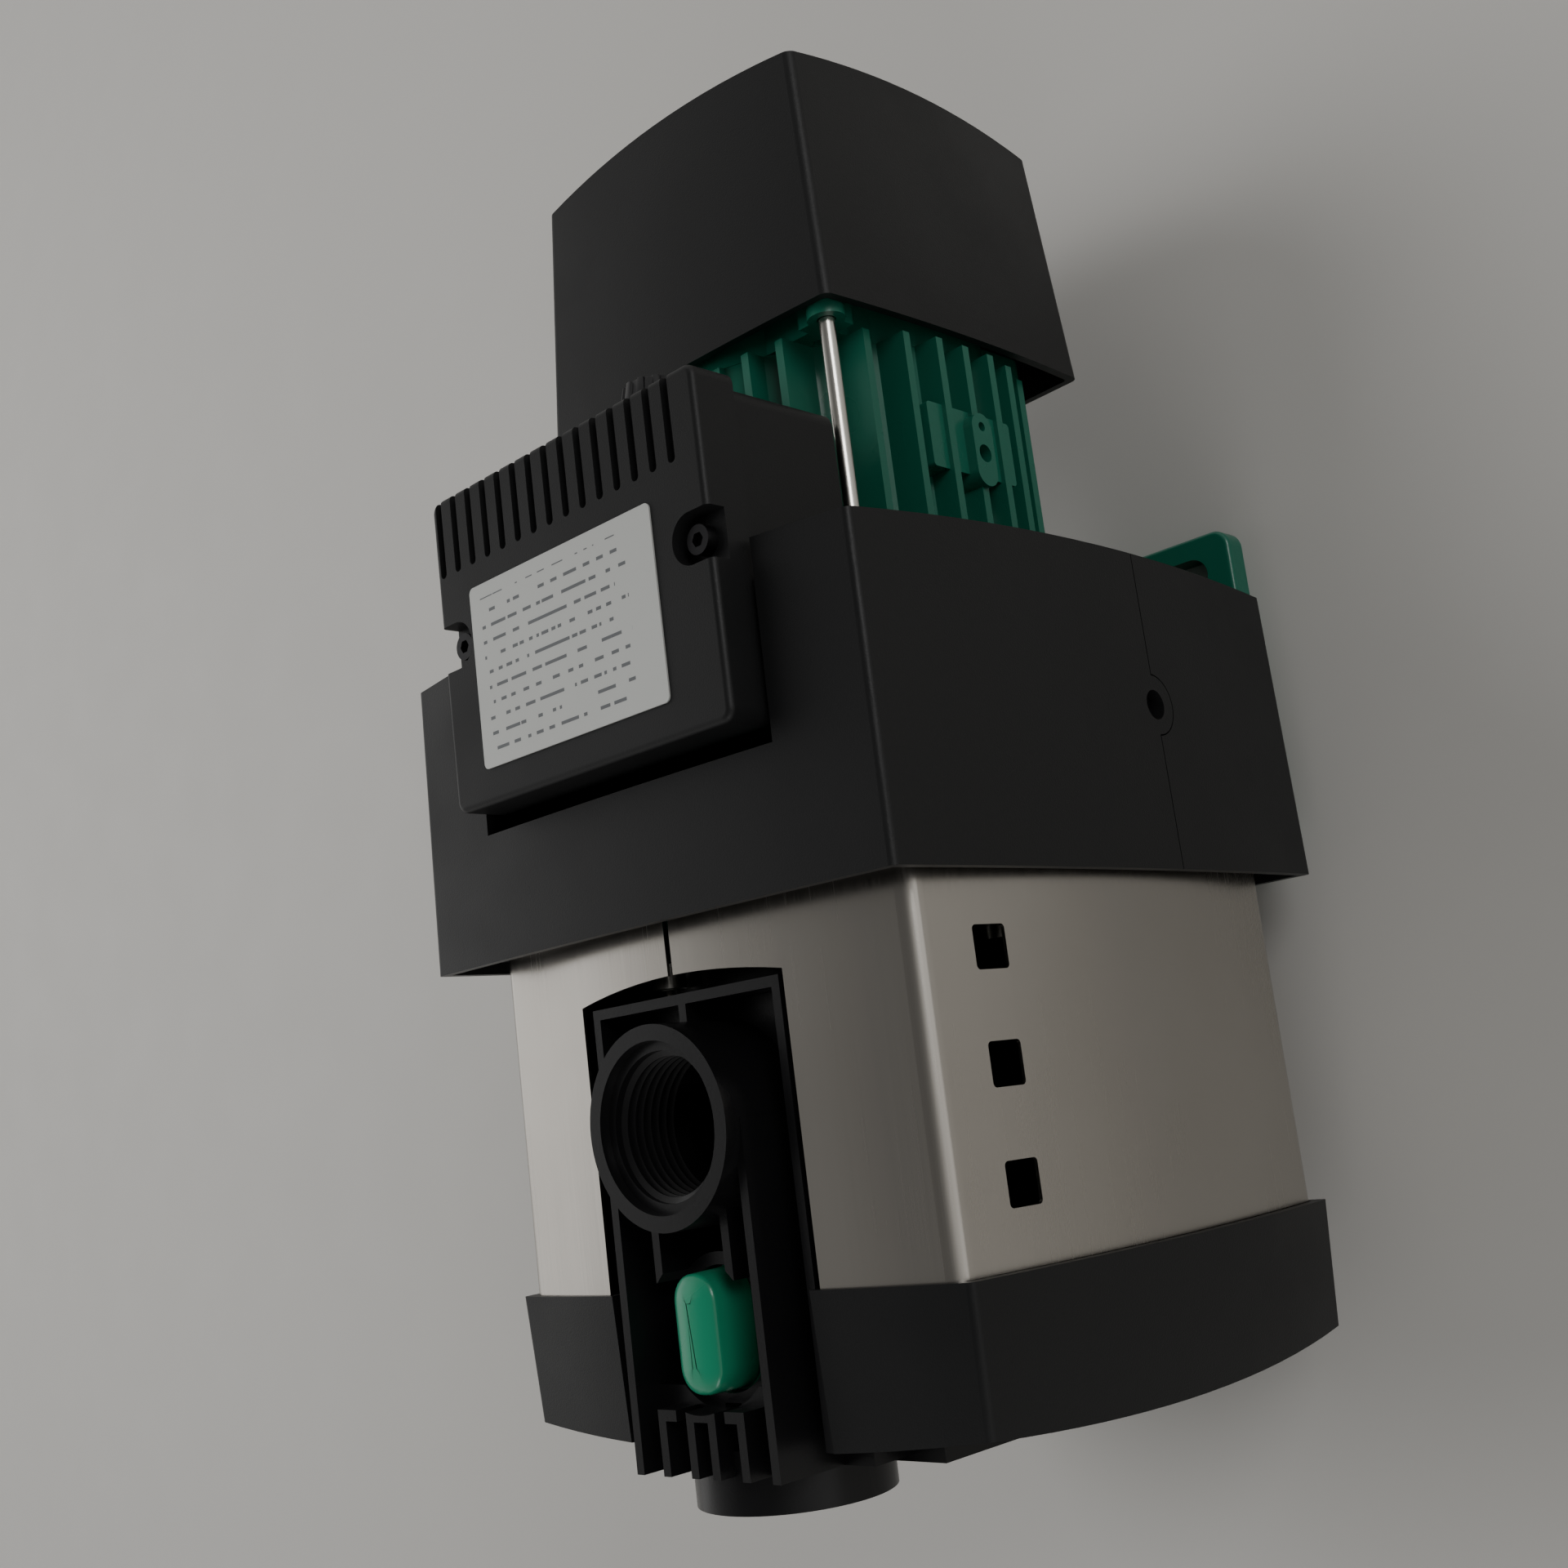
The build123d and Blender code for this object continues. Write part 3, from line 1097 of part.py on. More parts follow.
# ================================================================== terminal box
box_mid = (0, BOX_FRONT_Y + BOX_LENGTH / 2)
with BuildPart() as terminal_box_base:
    with BuildSketch(level(SEAT_BOX_Z)):
        with Locations(box_mid):
            RectangleRounded(2 * BOX_HALF, BOX_LENGTH, 4)
    extrude(amount=BOX_TOP_Z - SEAT_BOX_Z)
    with BuildSketch(level(SEAT_BOX_Z + 3)):
        with Locations(box_mid):
            RectangleRounded(2 * (BOX_HALF - WALL), BOX_LENGTH - 2 * WALL, 2)
    extrude(amount=BOX_TOP_Z, mode=Mode.SUBTRACT)
    # screw posts
    with BuildSketch(level(SEAT_BOX_Z + 1)):
        with Locations((-LID_SCREW_X + 1.5, LID_SCREW_Y), (LID_SCREW_X - 1.5, LID_SCREW_Y)):
            Circle(4)
    extrude(amount=BOX_TOP_Z - SEAT_BOX_Z - 1)
    with BuildSketch(level(BOX_TOP_Z)):
        with Locations((-LID_SCREW_X + 1.5, LID_SCREW_Y), (LID_SCREW_X - 1.5, LID_SCREW_Y)):
            Circle(1.75 + RUNNING)
    extrude(amount=-16, mode=Mode.SUBTRACT)
    # cable way down to the motor, and the gland's hole in the rear wall
    with BuildSketch(level(SEAT_BOX_Z)):
        with Locations((20, 22)):
            Circle(5)
    extrude(amount=4, mode=Mode.SUBTRACT)
    with BuildSketch(across(BOX_REAR_Y)):
        with Locations((GLAND_X, GLAND_Z - SHAFT_Z)):
            Circle(GLAND_THREAD_R + RUNNING)
    extrude(amount=WALL, mode=Mode.SUBTRACT)
finish(terminal_box_base.part, "terminal_box_base")

with BuildPart() as box_gasket:
    with BuildSketch(level(BOX_TOP_Z)):
        with Locations(box_mid):
            RectangleRounded(2 * BOX_HALF - 0.6, BOX_LENGTH - 0.6, 3.7)
            RectangleRounded(2 * (BOX_HALF - WALL), BOX_LENGTH - 2 * WALL, 2, mode=Mode.SUBTRACT)
        with Locations((-LID_SCREW_X + 1.5, LID_SCREW_Y), (LID_SCREW_X - 1.5, LID_SCREW_Y)):
            Circle(4)
            Circle(2, mode=Mode.SUBTRACT)
    extrude(amount=GASKET)
finish(box_gasket.part, "box_gasket")

with BuildPart() as terminal_box_lid:
    with BuildSketch(level(LID_Z)):
        with Locations(box_mid):
            RectangleRounded(2 * LID_HALF, BOX_LENGTH + 2 * LID_OVERHANG, 3)
    extrude(amount=LID_HEIGHT)
    fillet(terminal_box_lid.faces().sort_by(Axis.Z)[-1].edges(), 1.5)
    with BuildSketch(level(LID_Z)):
        with Locations(box_mid):
            RectangleRounded(2 * (BOX_HALF - WALL), BOX_LENGTH - 2 * WALL, 2)
    extrude(amount=LID_HEIGHT - 4, mode=Mode.SUBTRACT)
    # posts that carry the screws, and the notches over them
    with BuildSketch(level(LID_Z)):
        with Locations((-LID_SCREW_X + 1.5, LID_SCREW_Y), (LID_SCREW_X - 1.5, LID_SCREW_Y)):
            Circle(7.2)
        with Locations((0, LID_SCREW_Y)):
            Rectangle(2 * LID_HALF, 20, mode=Mode.INTERSECT)
    extrude(amount=LID_HEIGHT - 4)
    with BuildSketch(level(LID_TOP_Z - LID_NOTCH)):
        for side in (-1, 1):
            with Locations((side * (LID_SCREW_X - 1.5), LID_SCREW_Y)):
                Circle(LID_NOTCH_R)
            with Locations((side * (LID_SCREW_X + 2), LID_SCREW_Y)):
                Rectangle(8, 2 * LID_NOTCH_R)
    extrude(amount=LID_NOTCH + 1, mode=Mode.SUBTRACT)
    with BuildSketch(level(LID_Z)):
        with Locations((-LID_SCREW_X + 1.5, LID_SCREW_Y), (LID_SCREW_X - 1.5, LID_SCREW_Y)):
            Circle(1.75 + RUNNING)
    extrude(amount=LID_HEIGHT, mode=Mode.SUBTRACT)
    # row of grooves, open at the rear edge
    with BuildSketch(level(LID_TOP_Z)):
        for number in range(LID_GROOVES):
            groove_x = (number - (LID_GROOVES - 1) / 2) * LID_GROOVE_PITCH - 3.0
            with Locations((groove_x, LID_REAR_Y)):
                SlotOverall(2 * LID_GROOVE_LENGTH, LID_GROOVE, rotation=90)
    extrude(amount=-LID_GROOVE_DEPTH, mode=Mode.SUBTRACT)
finish(terminal_box_lid.part, "terminal_box_lid")

lid_spots = [(-LID_SCREW_X + 1.5, LID_SCREW_Y), (LID_SCREW_X - 1.5, LID_SCREW_Y)]
finish(cap_screw(level(LID_TOP_Z - LID_NOTCH), lid_spots, 1.75, 20, 3.3, 3.0, 1.7), "lid_screws")

with BuildPart() as nameplate:
    with BuildSketch(level(LID_TOP_Z)):
        with Locations((LABEL_X, LABEL_Y)):
            RectangleRounded(LABEL_WIDE, LABEL_LONG, 1.5)
    extrude(amount=LABEL_THICK)
finish(nameplate.part, "nameplate")

# ================================================================== cable gland
gland_at = (GLAND_X, GLAND_Z - SHAFT_Z)
with BuildPart() as gland_body:
    with BuildSketch(across(BOX_REAR_Y + 5)):
        with Locations(gland_at):
            RegularPolygon(GLAND_HEX / 2, 6, major_radius=False)
    extrude(amount=5)
    with BuildSketch(across(BOX_REAR_Y + 11)):
        with Locations(gland_at):
            Circle(GLAND_THREAD_R)
    extrude(amount=11 + WALL + 4)
    with BuildSketch(across(BOX_REAR_Y + 11)):
        with Locations(gland_at):
            Circle(GLAND_BORE_R)
    extrude(amount=11 + WALL + 4, mode=Mode.SUBTRACT)
    with BuildSketch(across(BOX_REAR_Y + 11)):
        with Locations(gland_at):
            Circle(6.3)
    extrude(amount=6, mode=Mode.SUBTRACT)
finish(gland_body.part, "gland_body")

with BuildPart() as gland_seal:
    with BuildSketch(across(BOX_REAR_Y + 11.5)):
        with Locations(gland_at):
            Circle(6.2)
            Circle(GLAND_BORE_R, mode=Mode.SUBTRACT)
    extrude(amount=6.3)
finish(gland_seal.part, "gland_seal")

with BuildPart() as gland_nut:
    with BuildSketch(across(BOX_REAR_Y + 17)):
        with Locations(gland_at):
            RegularPolygon(GLAND_HEX / 2 - 0.5, 6, major_radius=False)
    extrude(amount=11.7)
    chamfer(gland_nut.faces().sort_by(Axis.Y)[-1].edges(), 2.0)
    with BuildSketch(across(BOX_REAR_Y + 17)):
        with Locations(gland_at):
            Circle(GLAND_BORE_R)
    extrude(amount=12, mode=Mode.SUBTRACT)
    with BuildSketch(across(BOX_REAR_Y + 11.7)):
        with Locations(gland_at):
            Circle(GLAND_THREAD_R + RUNNING)
    extrude(amount=8, mode=Mode.SUBTRACT)
finish(gland_nut.part, "gland_nut")

# ================================================================== inside the box
with BuildPart() as terminal_block:
    with BuildSketch(level(SEAT_BOX_Z + 3)):
        with Locations((18, 4)):
            RectangleRounded(38, 18, 1.5)
    extrude(amount=13)
    with BuildSketch(level(SEAT_BOX_Z + 16)):
        with Locations((6, 4), (18, 4), (30, 4)):
            Circle(3)
    extrude(amount=-8, mode=Mode.SUBTRACT)
finish(terminal_block.part, "terminal_block")

with BuildPart() as capacitor:
    with BuildSketch(across(50)):
        with Locations((-24, BOX_SEAT_REL + 3 + 13)):
            Circle(13)
    extrude(amount=58)
    fillet(capacitor.faces().sort_by(Axis.Y)[0].edges(), 2)
    with BuildSketch(across(54)):
        with Locations((-28, BOX_SEAT_REL + 16), (-20, BOX_SEAT_REL + 16)):
            Rectangle(0.8, 6)
    extrude(amount=5)
finish(capacitor.part, "capacitor")
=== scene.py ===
"""Looks of the horizontal multistage water pump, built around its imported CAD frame."""
import json
import math

import bpy
from mathutils import Matrix, Vector


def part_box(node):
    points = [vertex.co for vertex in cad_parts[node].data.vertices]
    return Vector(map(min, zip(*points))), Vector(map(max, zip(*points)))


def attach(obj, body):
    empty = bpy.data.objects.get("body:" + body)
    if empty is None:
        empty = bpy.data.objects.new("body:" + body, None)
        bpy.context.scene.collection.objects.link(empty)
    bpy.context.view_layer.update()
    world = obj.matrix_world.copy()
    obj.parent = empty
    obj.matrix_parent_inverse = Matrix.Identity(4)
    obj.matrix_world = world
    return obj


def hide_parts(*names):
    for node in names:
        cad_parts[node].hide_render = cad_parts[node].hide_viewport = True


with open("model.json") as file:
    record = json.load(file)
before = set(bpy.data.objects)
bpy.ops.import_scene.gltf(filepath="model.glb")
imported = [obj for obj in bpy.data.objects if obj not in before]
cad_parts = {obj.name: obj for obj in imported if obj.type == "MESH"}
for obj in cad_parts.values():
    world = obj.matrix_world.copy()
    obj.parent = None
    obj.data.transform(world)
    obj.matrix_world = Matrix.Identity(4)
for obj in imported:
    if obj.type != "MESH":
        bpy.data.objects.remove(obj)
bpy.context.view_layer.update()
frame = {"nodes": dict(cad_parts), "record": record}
MM = 0.001

# ------------------------------------------------------------------ camera
RIGHT = Vector((0.699, -0.119, -0.706)).normalized()
FORWARD = Vector((-0.6828, 0.1833, -0.7073)).normalized()
UP = RIGHT.cross(FORWARD).normalized()
RIGHT = FORWARD.cross(UP).normalized()
EYE = Vector((303.22, -97.38, 435.99)) * MM

camera_data = bpy.data.cameras.new("pump_camera")
camera = bpy.data.objects.new("pump_camera", camera_data)
bpy.context.scene.collection.objects.link(camera)
turn = Matrix((RIGHT, UP, -FORWARD)).transposed()
camera.matrix_world = Matrix.Translation(EYE) @ turn.to_4x4()
camera_data.lens = 41.32
camera_data.sensor_width = 36.0
camera_data.clip_start = 0.01
bpy.context.scene.camera = camera


# ------------------------------------------------------------------ shader groups
def group_tree(name, inputs, outputs):
    """Empty node group with its named sockets and its two end nodes."""
    tree = bpy.data.node_groups.new(name, "ShaderNodeTree")
    for label, kind, value in inputs:
        socket = tree.interface.new_socket(label, in_out="INPUT", socket_type=kind)
        if value is not None:
            socket.default_value = value
    for label, kind in outputs:
        tree.interface.new_socket(label, in_out="OUTPUT", socket_type=kind)
    return tree, tree.nodes.new("NodeGroupInput"), tree.nodes.new("NodeGroupOutput")


def noise(tree, vector, scale, detail=3.0):
    """Noise texture on a vector socket."""
    texture = tree.nodes.new("ShaderNodeTexNoise")
    if isinstance(scale, bpy.types.NodeSocket):
        tree.links.new(scale, texture.inputs["Scale"])
    else:
        texture.inputs["Scale"].default_value = scale
    texture.inputs["Detail"].default_value = detail
    tree.links.new(vector, texture.inputs["Vector"])
    return texture.outputs["Fac"]


def maths(tree, operation, *values):
    """Math node; numbers and sockets may be mixed."""
    made = tree.nodes.new("ShaderNodeMath")
    made.operation = operation
    for place, value in enumerate(values):
        if isinstance(value, bpy.types.NodeSocket):
            tree.links.new(value, made.inputs[place])
        else:
            made.inputs[place].default_value = value
    return made.outputs[0]


def blend_colours(tree, share, first, second):
    """Mix node for two colours."""
    made = tree.nodes.new("ShaderNodeMix")
    made.data_type = "RGBA"
    factor, first_colour, second_colour = (made.inputs[index] for index in (0, 6, 7))
    for socket, value in ((factor, share), (first_colour, first), (second_colour, second)):
        if isinstance(value, bpy.types.NodeSocket):
            tree.links.new(value, socket)
        else:
            socket.default_value = value
    return made.outputs[2]


NOISE_LOW, NOISE_HIGH = 0.3, 0.7
DUST_COLOUR = (0.16, 0.155, 0.145, 1)
FLECK_LEVEL = 0.72


def span(tree, value, low, high):
    """Stretch the middle of a noise socket over low to high, where both may be sockets."""
    made = tree.nodes.new("ShaderNodeMapRange")
    tree.links.new(value, made.inputs["Value"])
    made.inputs["From Min"].default_value = NOISE_LOW
    made.inputs["From Max"].default_value = NOISE_HIGH
    for label, end in (("To Min", low), ("To Max", high)):
        if isinstance(end, bpy.types.NodeSocket):
            tree.links.new(end, made.inputs[label])
        else:
            made.inputs[label].default_value = end
    return made.outputs["Result"]


def build_moulded_skin():
    """Spark-eroded grain of a moulded cover, with slow sheen changes and a little dust."""
    tree, ends, out = group_tree(
        "moulded_skin",
        [
            ("Vector", "NodeSocketVector", None), ("Colour", "NodeSocketColor", (0.02, 0.02, 0.02, 1)),
            ("Grain Scale", "NodeSocketFloat", 1800.0), ("Smooth", "NodeSocketFloat", 0.4),
            ("Rough", "NodeSocketFloat", 0.6), ("Dust", "NodeSocketFloat", 0.15),
        ],
        [("Colour", "NodeSocketColor"), ("Roughness", "NodeSocketFloat"), ("Height", "NodeSocketFloat")],
    )
    vector = ends.outputs["Vector"]
    grain = noise(tree, vector, ends.outputs["Grain Scale"], 2.0)
    cloud = noise(tree, vector, 26.0, 4.0)
    specks = noise(tree, vector, 700.0, 5.0)
    flecks = maths(tree, "GREATER_THAN", specks, FLECK_LEVEL)
    settled = maths(tree, "ADD", span(tree, cloud, 0.0, 1.0), flecks)
    dust = maths(tree, "MULTIPLY", settled, ends.outputs["Dust"])
    colour = blend_colours(tree, dust, ends.outputs["Colour"], DUST_COLOUR)
    tree.links.new(colour, out.inputs["Colour"])
    rough = span(tree, cloud, ends.outputs["Smooth"], ends.outputs["Rough"])
    tree.links.new(rough, out.inputs["Roughness"])
    tree.links.new(grain, out.inputs["Height"])
    return tree


def build_metal_skin():
    """Fine lines along one direction, smears and small colour changes of a metal skin."""
    tree, ends, out = group_tree(
        "metal_skin",
        [
            ("Vector", "NodeSocketVector", None), ("Colour", "NodeSocketColor", (0.6, 0.6, 0.6, 1)),
            ("Tint", "NodeSocketColor", (0.5, 0.48, 0.44, 1)),
            ("Line Scale", "NodeSocketVector", (900, 12, 900)),
            ("Smooth", "NodeSocketFloat", 0.25), ("Rough", "NodeSocketFloat", 0.4),
        ],
        [("Colour", "NodeSocketColor"), ("Roughness", "NodeSocketFloat"), ("Height", "NodeSocketFloat")],
    )
    stretch = tree.nodes.new("ShaderNodeVectorMath")
    stretch.operation = "MULTIPLY"
    tree.links.new(ends.outputs["Vector"], stretch.inputs[0])
    tree.links.new(ends.outputs["Line Scale"], stretch.inputs[1])
    lines = noise(tree, stretch.outputs[0], 1.0, 3.0)
    smear = noise(tree, ends.outputs["Vector"], 18.0, 3.0)
    colour = blend_colours(tree, span(tree, smear, 0.0, 0.55), ends.outputs["Colour"], ends.outputs["Tint"])
    tree.links.new(colour, out.inputs["Colour"])
    both = maths(tree, "MULTIPLY", maths(tree, "ADD", lines, smear), 0.5)
    tree.links.new(span(tree, both, ends.outputs["Smooth"], ends.outputs["Rough"]), out.inputs["Roughness"])
    tree.links.new(lines, out.inputs["Height"])
    return tree


MOULDED_SKIN = build_moulded_skin()
METAL_SKIN = build_metal_skin()


def finish_material(name, skin, values, metallic, bump, bump_depth, extras=None):
    """Principled material fed by one of the skins."""
    material = bpy.data.materials.new(name)
    material.use_nodes = True
    tree = material.node_tree
    shader = tree.nodes["Principled BSDF"]
    shader.inputs["Metallic"].default_value = metallic
    for label, value in (extras or {}).items():
        shader.inputs[label].default_value = value
    place = tree.nodes.new("ShaderNodeTexCoord").outputs["Object"]
    surface = tree.nodes.new("ShaderNodeGroup")
    surface.node_tree = skin
    tree.links.new(place, surface.inputs["Vector"])
    for label, value in values.items():
        surface.inputs[label].default_value = value
    tree.links.new(surface.outputs["Colour"], shader.inputs["Base Color"])
    tree.links.new(surface.outputs["Roughness"], shader.inputs["Roughness"])
    height = tree.nodes.new("ShaderNodeBump")
    height.inputs["Strength"].default_value = bump
    height.inputs["Distance"].default_value = bump_depth
    tree.links.new(surface.outputs["Height"], height.inputs["Height"])
    tree.links.new(height.outputs["Normal"], shader.inputs["Normal"])
    return material


def moulded(name, colour, grain, smooth, rough, dust, bump=0.35, depth=0.0001, **extras):
    """Plastic, paint, rubber or paper with the moulded skin."""
    values = {"Colour": (*colour, 1), "Grain Scale": grain, "Smooth": smooth, "Rough": rough, "Dust": dust}
    return finish_material(name, MOULDED_SKIN, values, 0.0, bump, depth, extras)


def metal(name, colour, tint, lines, smooth, rough, bump=0.2, depth=0.00005, **extras):
    """Bare metal with the metal skin."""
    values = {
        "Colour": (*colour, 1), "Tint": (*tint, 1), "Line Scale": lines, "Smooth": smooth, "Rough": rough,
    }
    return finish_material(name, METAL_SKIN, values, 1.0, bump, depth, extras)


ROW_PITCH = 3.7 * MM
INK_SHARE = 0.22
DASHES_PER_METRE = 420.0
ROW_SHIFT = 7.3
LABEL_MARGIN = 3.5 * MM
PRINT_CENTRE, PRINT_HALF = 0.46, 0.40
INK = (0.09, 0.095, 0.1, 1)


def printed_label(name):
    """Silver foil with plain rows of grey dashes inside a bare margin."""
    material = moulded(name, (0.38, 0.385, 0.37), 900.0, 0.32, 0.45, 0.03, 0.1)
    tree = material.node_tree
    shader = tree.nodes["Principled BSDF"]
    foil = shader.inputs["Base Color"].links[0].from_socket
    low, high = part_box("nameplate")
    wide, tall = high[0] - low[0], high[1] - low[1]
    parts = tree.nodes.new("ShaderNodeSeparateXYZ")
    tree.links.new(tree.nodes["Texture Coordinate"].outputs["Object"], parts.inputs[0])
    along = maths(tree, "SUBTRACT", parts.outputs[0], low[0])
    down = maths(tree, "SUBTRACT", parts.outputs[1], low[1])
    row = maths(tree, "DIVIDE", down, ROW_PITCH)
    in_row = maths(tree, "LESS_THAN", maths(tree, "FRACT", row), INK_SHARE)
    cell = tree.nodes.new("ShaderNodeCombineXYZ")
    tree.links.new(maths(tree, "MULTIPLY", along, DASHES_PER_METRE), cell.inputs[0])
    tree.links.new(maths(tree, "MULTIPLY", maths(tree, "FLOOR", row), ROW_SHIFT), cell.inputs[1])
    dashes = maths(tree, "GREATER_THAN", noise(tree, cell.outputs[0], 1.0, 0.0), 0.5)
    inside = maths(
        tree, "MULTIPLY",
        maths(tree, "COMPARE", along, wide * PRINT_CENTRE, wide * PRINT_HALF),
        maths(tree, "COMPARE", down, tall / 2, tall / 2 - LABEL_MARGIN),
    )
    ink = maths(tree, "MULTIPLY", maths(tree, "MULTIPLY", in_row, dashes), inside)
    tree.links.new(blend_colours(tree, ink, foil, INK), shader.inputs["Base Color"])
    shader.inputs["Metallic"].default_value = 0.25
    return material


ROUND_GRAIN = (500, 500, 500)
MATERIALS = {
    "casing_black": moulded(
        "casing_black", (0.004, 0.004, 0.0045), 1300.0, 0.22, 0.36, 0.006, 0.2,
        **{"Specular IOR Level": 0.32},
    ),
    "cover_black": moulded(
        "cover_black", (0.0055, 0.0057, 0.006), 2600.0, 0.4, 0.52, 0.006, 0.45,
        **{"Specular IOR Level": 0.27},
    ),
    "nylon_black": moulded(
        "nylon_black", (0.005, 0.005, 0.006), 1500.0, 0.3, 0.45, 0.01, 0.2,
        **{"Specular IOR Level": 0.35},
    ),
    "blackened_steel": metal(
        "blackened_steel", (0.05, 0.05, 0.055), (0.025, 0.024, 0.022), (700, 700, 700), 0.3, 0.45,
    ),
    "jacket_steel": metal(
        "jacket_steel", (0.5, 0.475, 0.435), (0.43, 0.4, 0.36), (2400, 14, 2400), 0.18, 0.3, 0.09,
        Anisotropic=0.35,
    ),
    "green_paint": moulded(
        "green_paint", (0.002, 0.1, 0.062), 420.0, 0.24, 0.42, 0.012, 0.3, 0.0002,
        **{"Coat Weight": 0.18, "Coat Roughness": 0.14, "Specular IOR Level": 0.35},
    ),
    "plug_teal": moulded("plug_teal", (0.006, 0.19, 0.1), 900.0, 0.24, 0.36, 0.01, 0.12),
    "stage_plastic": moulded("stage_plastic", (0.03, 0.03, 0.033), 1200.0, 0.35, 0.5, 0.02, 0.2),
    "fan_plastic": moulded("fan_plastic", (0.014, 0.014, 0.015), 1200.0, 0.4, 0.55, 0.05, 0.2),
    "seal_rubber": moulded("seal_rubber", (0.01, 0.01, 0.01), 1100.0, 0.5, 0.7, 0.05, 0.3),
    "seal_ceramic": moulded("seal_ceramic", (0.75, 0.73, 0.67), 900.0, 0.12, 0.2, 0.02, 0.05),
    "label_silver": printed_label("label_silver"),
    "winding_copper": metal(
        "winding_copper", (0.6, 0.24, 0.08), (0.42, 0.14, 0.05), (60, 900, 60), 0.25, 0.4,
    ),
    "core_steel": metal("core_steel", (0.32, 0.32, 0.33), (0.22, 0.2, 0.18), (12, 2400, 12), 0.35, 0.5),
    "capacitor_case": moulded("capacitor_case", (0.7, 0.7, 0.66), 900.0, 0.25, 0.4, 0.03, 0.1),
    "zinc_steel": metal("zinc_steel", (0.68, 0.67, 0.64), (0.55, 0.52, 0.42), ROUND_GRAIN, 0.14, 0.3),
    "bright_steel": metal("bright_steel", (0.66, 0.66, 0.66), (0.5, 0.5, 0.5), (600, 3000, 600), 0.14, 0.28),
}

slot_of_node = {entry["node"]: entry["material_slot"] for entry in frame["record"]["subparts"]}
for node_name, part in frame["nodes"].items():
    part.data.materials.clear()
    part.data.materials.append(MATERIALS[slot_of_node[node_name]])


# ------------------------------------------------------------------ making pieces
def deselect():
    bpy.ops.object.select_all(action="DESELECT")


def take(piece):
    deselect()
    piece.select_set(True)
    bpy.context.view_layer.objects.active = piece


def settle(piece, name, body, slot):
    """Bring a finished piece to the frame's origin and give it its name, body and finish."""
    take(piece)
    bpy.ops.object.transform_apply(location=True, rotation=True, scale=True)
    bpy.ops.object.shade_smooth_by_angle(angle=math.radians(35))
    piece.name = name
    piece.data.materials.clear()
    piece.data.materials.append(MATERIALS[slot])
    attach(piece, body)
    return piece


def edit_select(piece, kind, wanted):
    """In edit mode, select only the edges or faces for which wanted is true."""
    bpy.ops.object.mode_set(mode="OBJECT")
    mesh = piece.data
    for group in (mesh.vertices, mesh.edges, mesh.polygons):
        group.foreach_set("select", [False] * len(group))
    for item in (mesh.edges if kind == "EDGE" else mesh.polygons):
        points = [mesh.vertices[index].co for index in item.vertices]
        if wanted(points):
            item.select = True
            for index in item.vertices:
                mesh.vertices[index].select = True
            if kind == "FACE":
                for loop in item.loop_indices:
                    mesh.edges[mesh.loops[loop].edge_index].select = True
    bpy.ops.object.mode_set(mode="EDIT")
    bpy.ops.mesh.select_mode(type=kind)


RIDGE_FOOT_SHARE = 0.9
RIDGE_CREST_SHARE = 0.2


def thread_ridge(root_radius, crest_radius, pitch, turns, steps):
    """Helical ridge about Z from z = 0 upwards, narrower at its crest and closed at both ends."""
    deselect()
    middle = (root_radius + crest_radius) / 2
    bpy.ops.mesh.primitive_plane_add(size=1.0, location=(middle, 0, 0), rotation=(math.pi / 2, 0, 0))
    ridge = bpy.context.object
    ridge.scale = (abs(root_radius - crest_radius), pitch * RIDGE_FOOT_SHARE, 1)
    bpy.ops.object.transform_apply(location=True, rotation=True, scale=True)
    edit_select(ridge, "EDGE", lambda p: all(abs(q.x - crest_radius) < 1e-6 for q in p))
    bpy.ops.transform.resize(value=(1, 1, RIDGE_CREST_SHARE))
    bpy.ops.mesh.select_all(action="SELECT")
    bpy.ops.mesh.delete(type="ONLY_FACE")
    bpy.ops.object.mode_set(mode="OBJECT")
    screw = ridge.modifiers.new("turns", "SCREW")
    screw.angle = 2 * math.pi * turns
    screw.screw_offset = pitch * turns
    screw.steps = screw.render_steps = int(steps * turns)
    bpy.ops.object.modifier_apply(modifier="turns")
    bpy.ops.object.mode_set(mode="EDIT")
    bpy.ops.mesh.select_all(action="SELECT")
    bpy.ops.mesh.fill_holes(sides=4)
    bpy.ops.mesh.normals_make_consistent(inside=False)
    bpy.ops.object.mode_set(mode="OBJECT")
    return ridge


SHAFT_Z = 92.0
DISCHARGE_AT = (0.0, -95.3, SHAFT_Z + 83.0)
SUCTION_AT = (0.0, -177.6, SHAFT_Z + 52.6)
FILLER_AT = (0.0, -139.9, SHAFT_Z + 69.0)


PIPE_ROOT_R, PIPE_CREST_R = 16.8, 15.3
PIPE_PITCH, PIPE_TURNS = 2.31, 7
PORT_LEAD_IN = 2.9


def port_thread(name, mouth, turned_about_x):
    """Female pipe thread just inside a port's mouth."""
    ridge = thread_ridge(PIPE_ROOT_R * MM, PIPE_CREST_R * MM, PIPE_PITCH * MM, PIPE_TURNS, 72)
    depth = (PORT_LEAD_IN + PIPE_PITCH * (PIPE_TURNS + 0.5)) * MM
    ridge.rotation_euler = (turned_about_x, 0, 0)
    axis = Matrix.Rotation(turned_about_x, 3, "X") @ Vector((0, 0, 1))
    ridge.location = Vector(mouth) * MM - axis * depth
    return settle(ridge, name, "pump", "casing_black")


port_thread("discharge_thread", DISCHARGE_AT, 0.0)
port_thread("suction_thread", SUCTION_AT, math.pi / 2)


ROD_PLACES = ((-25.0, -42.0), (25.0, -42.0), (-43.9, 42.0), (43.9, 42.0))
ROD_THREAD_LONG = 12.0


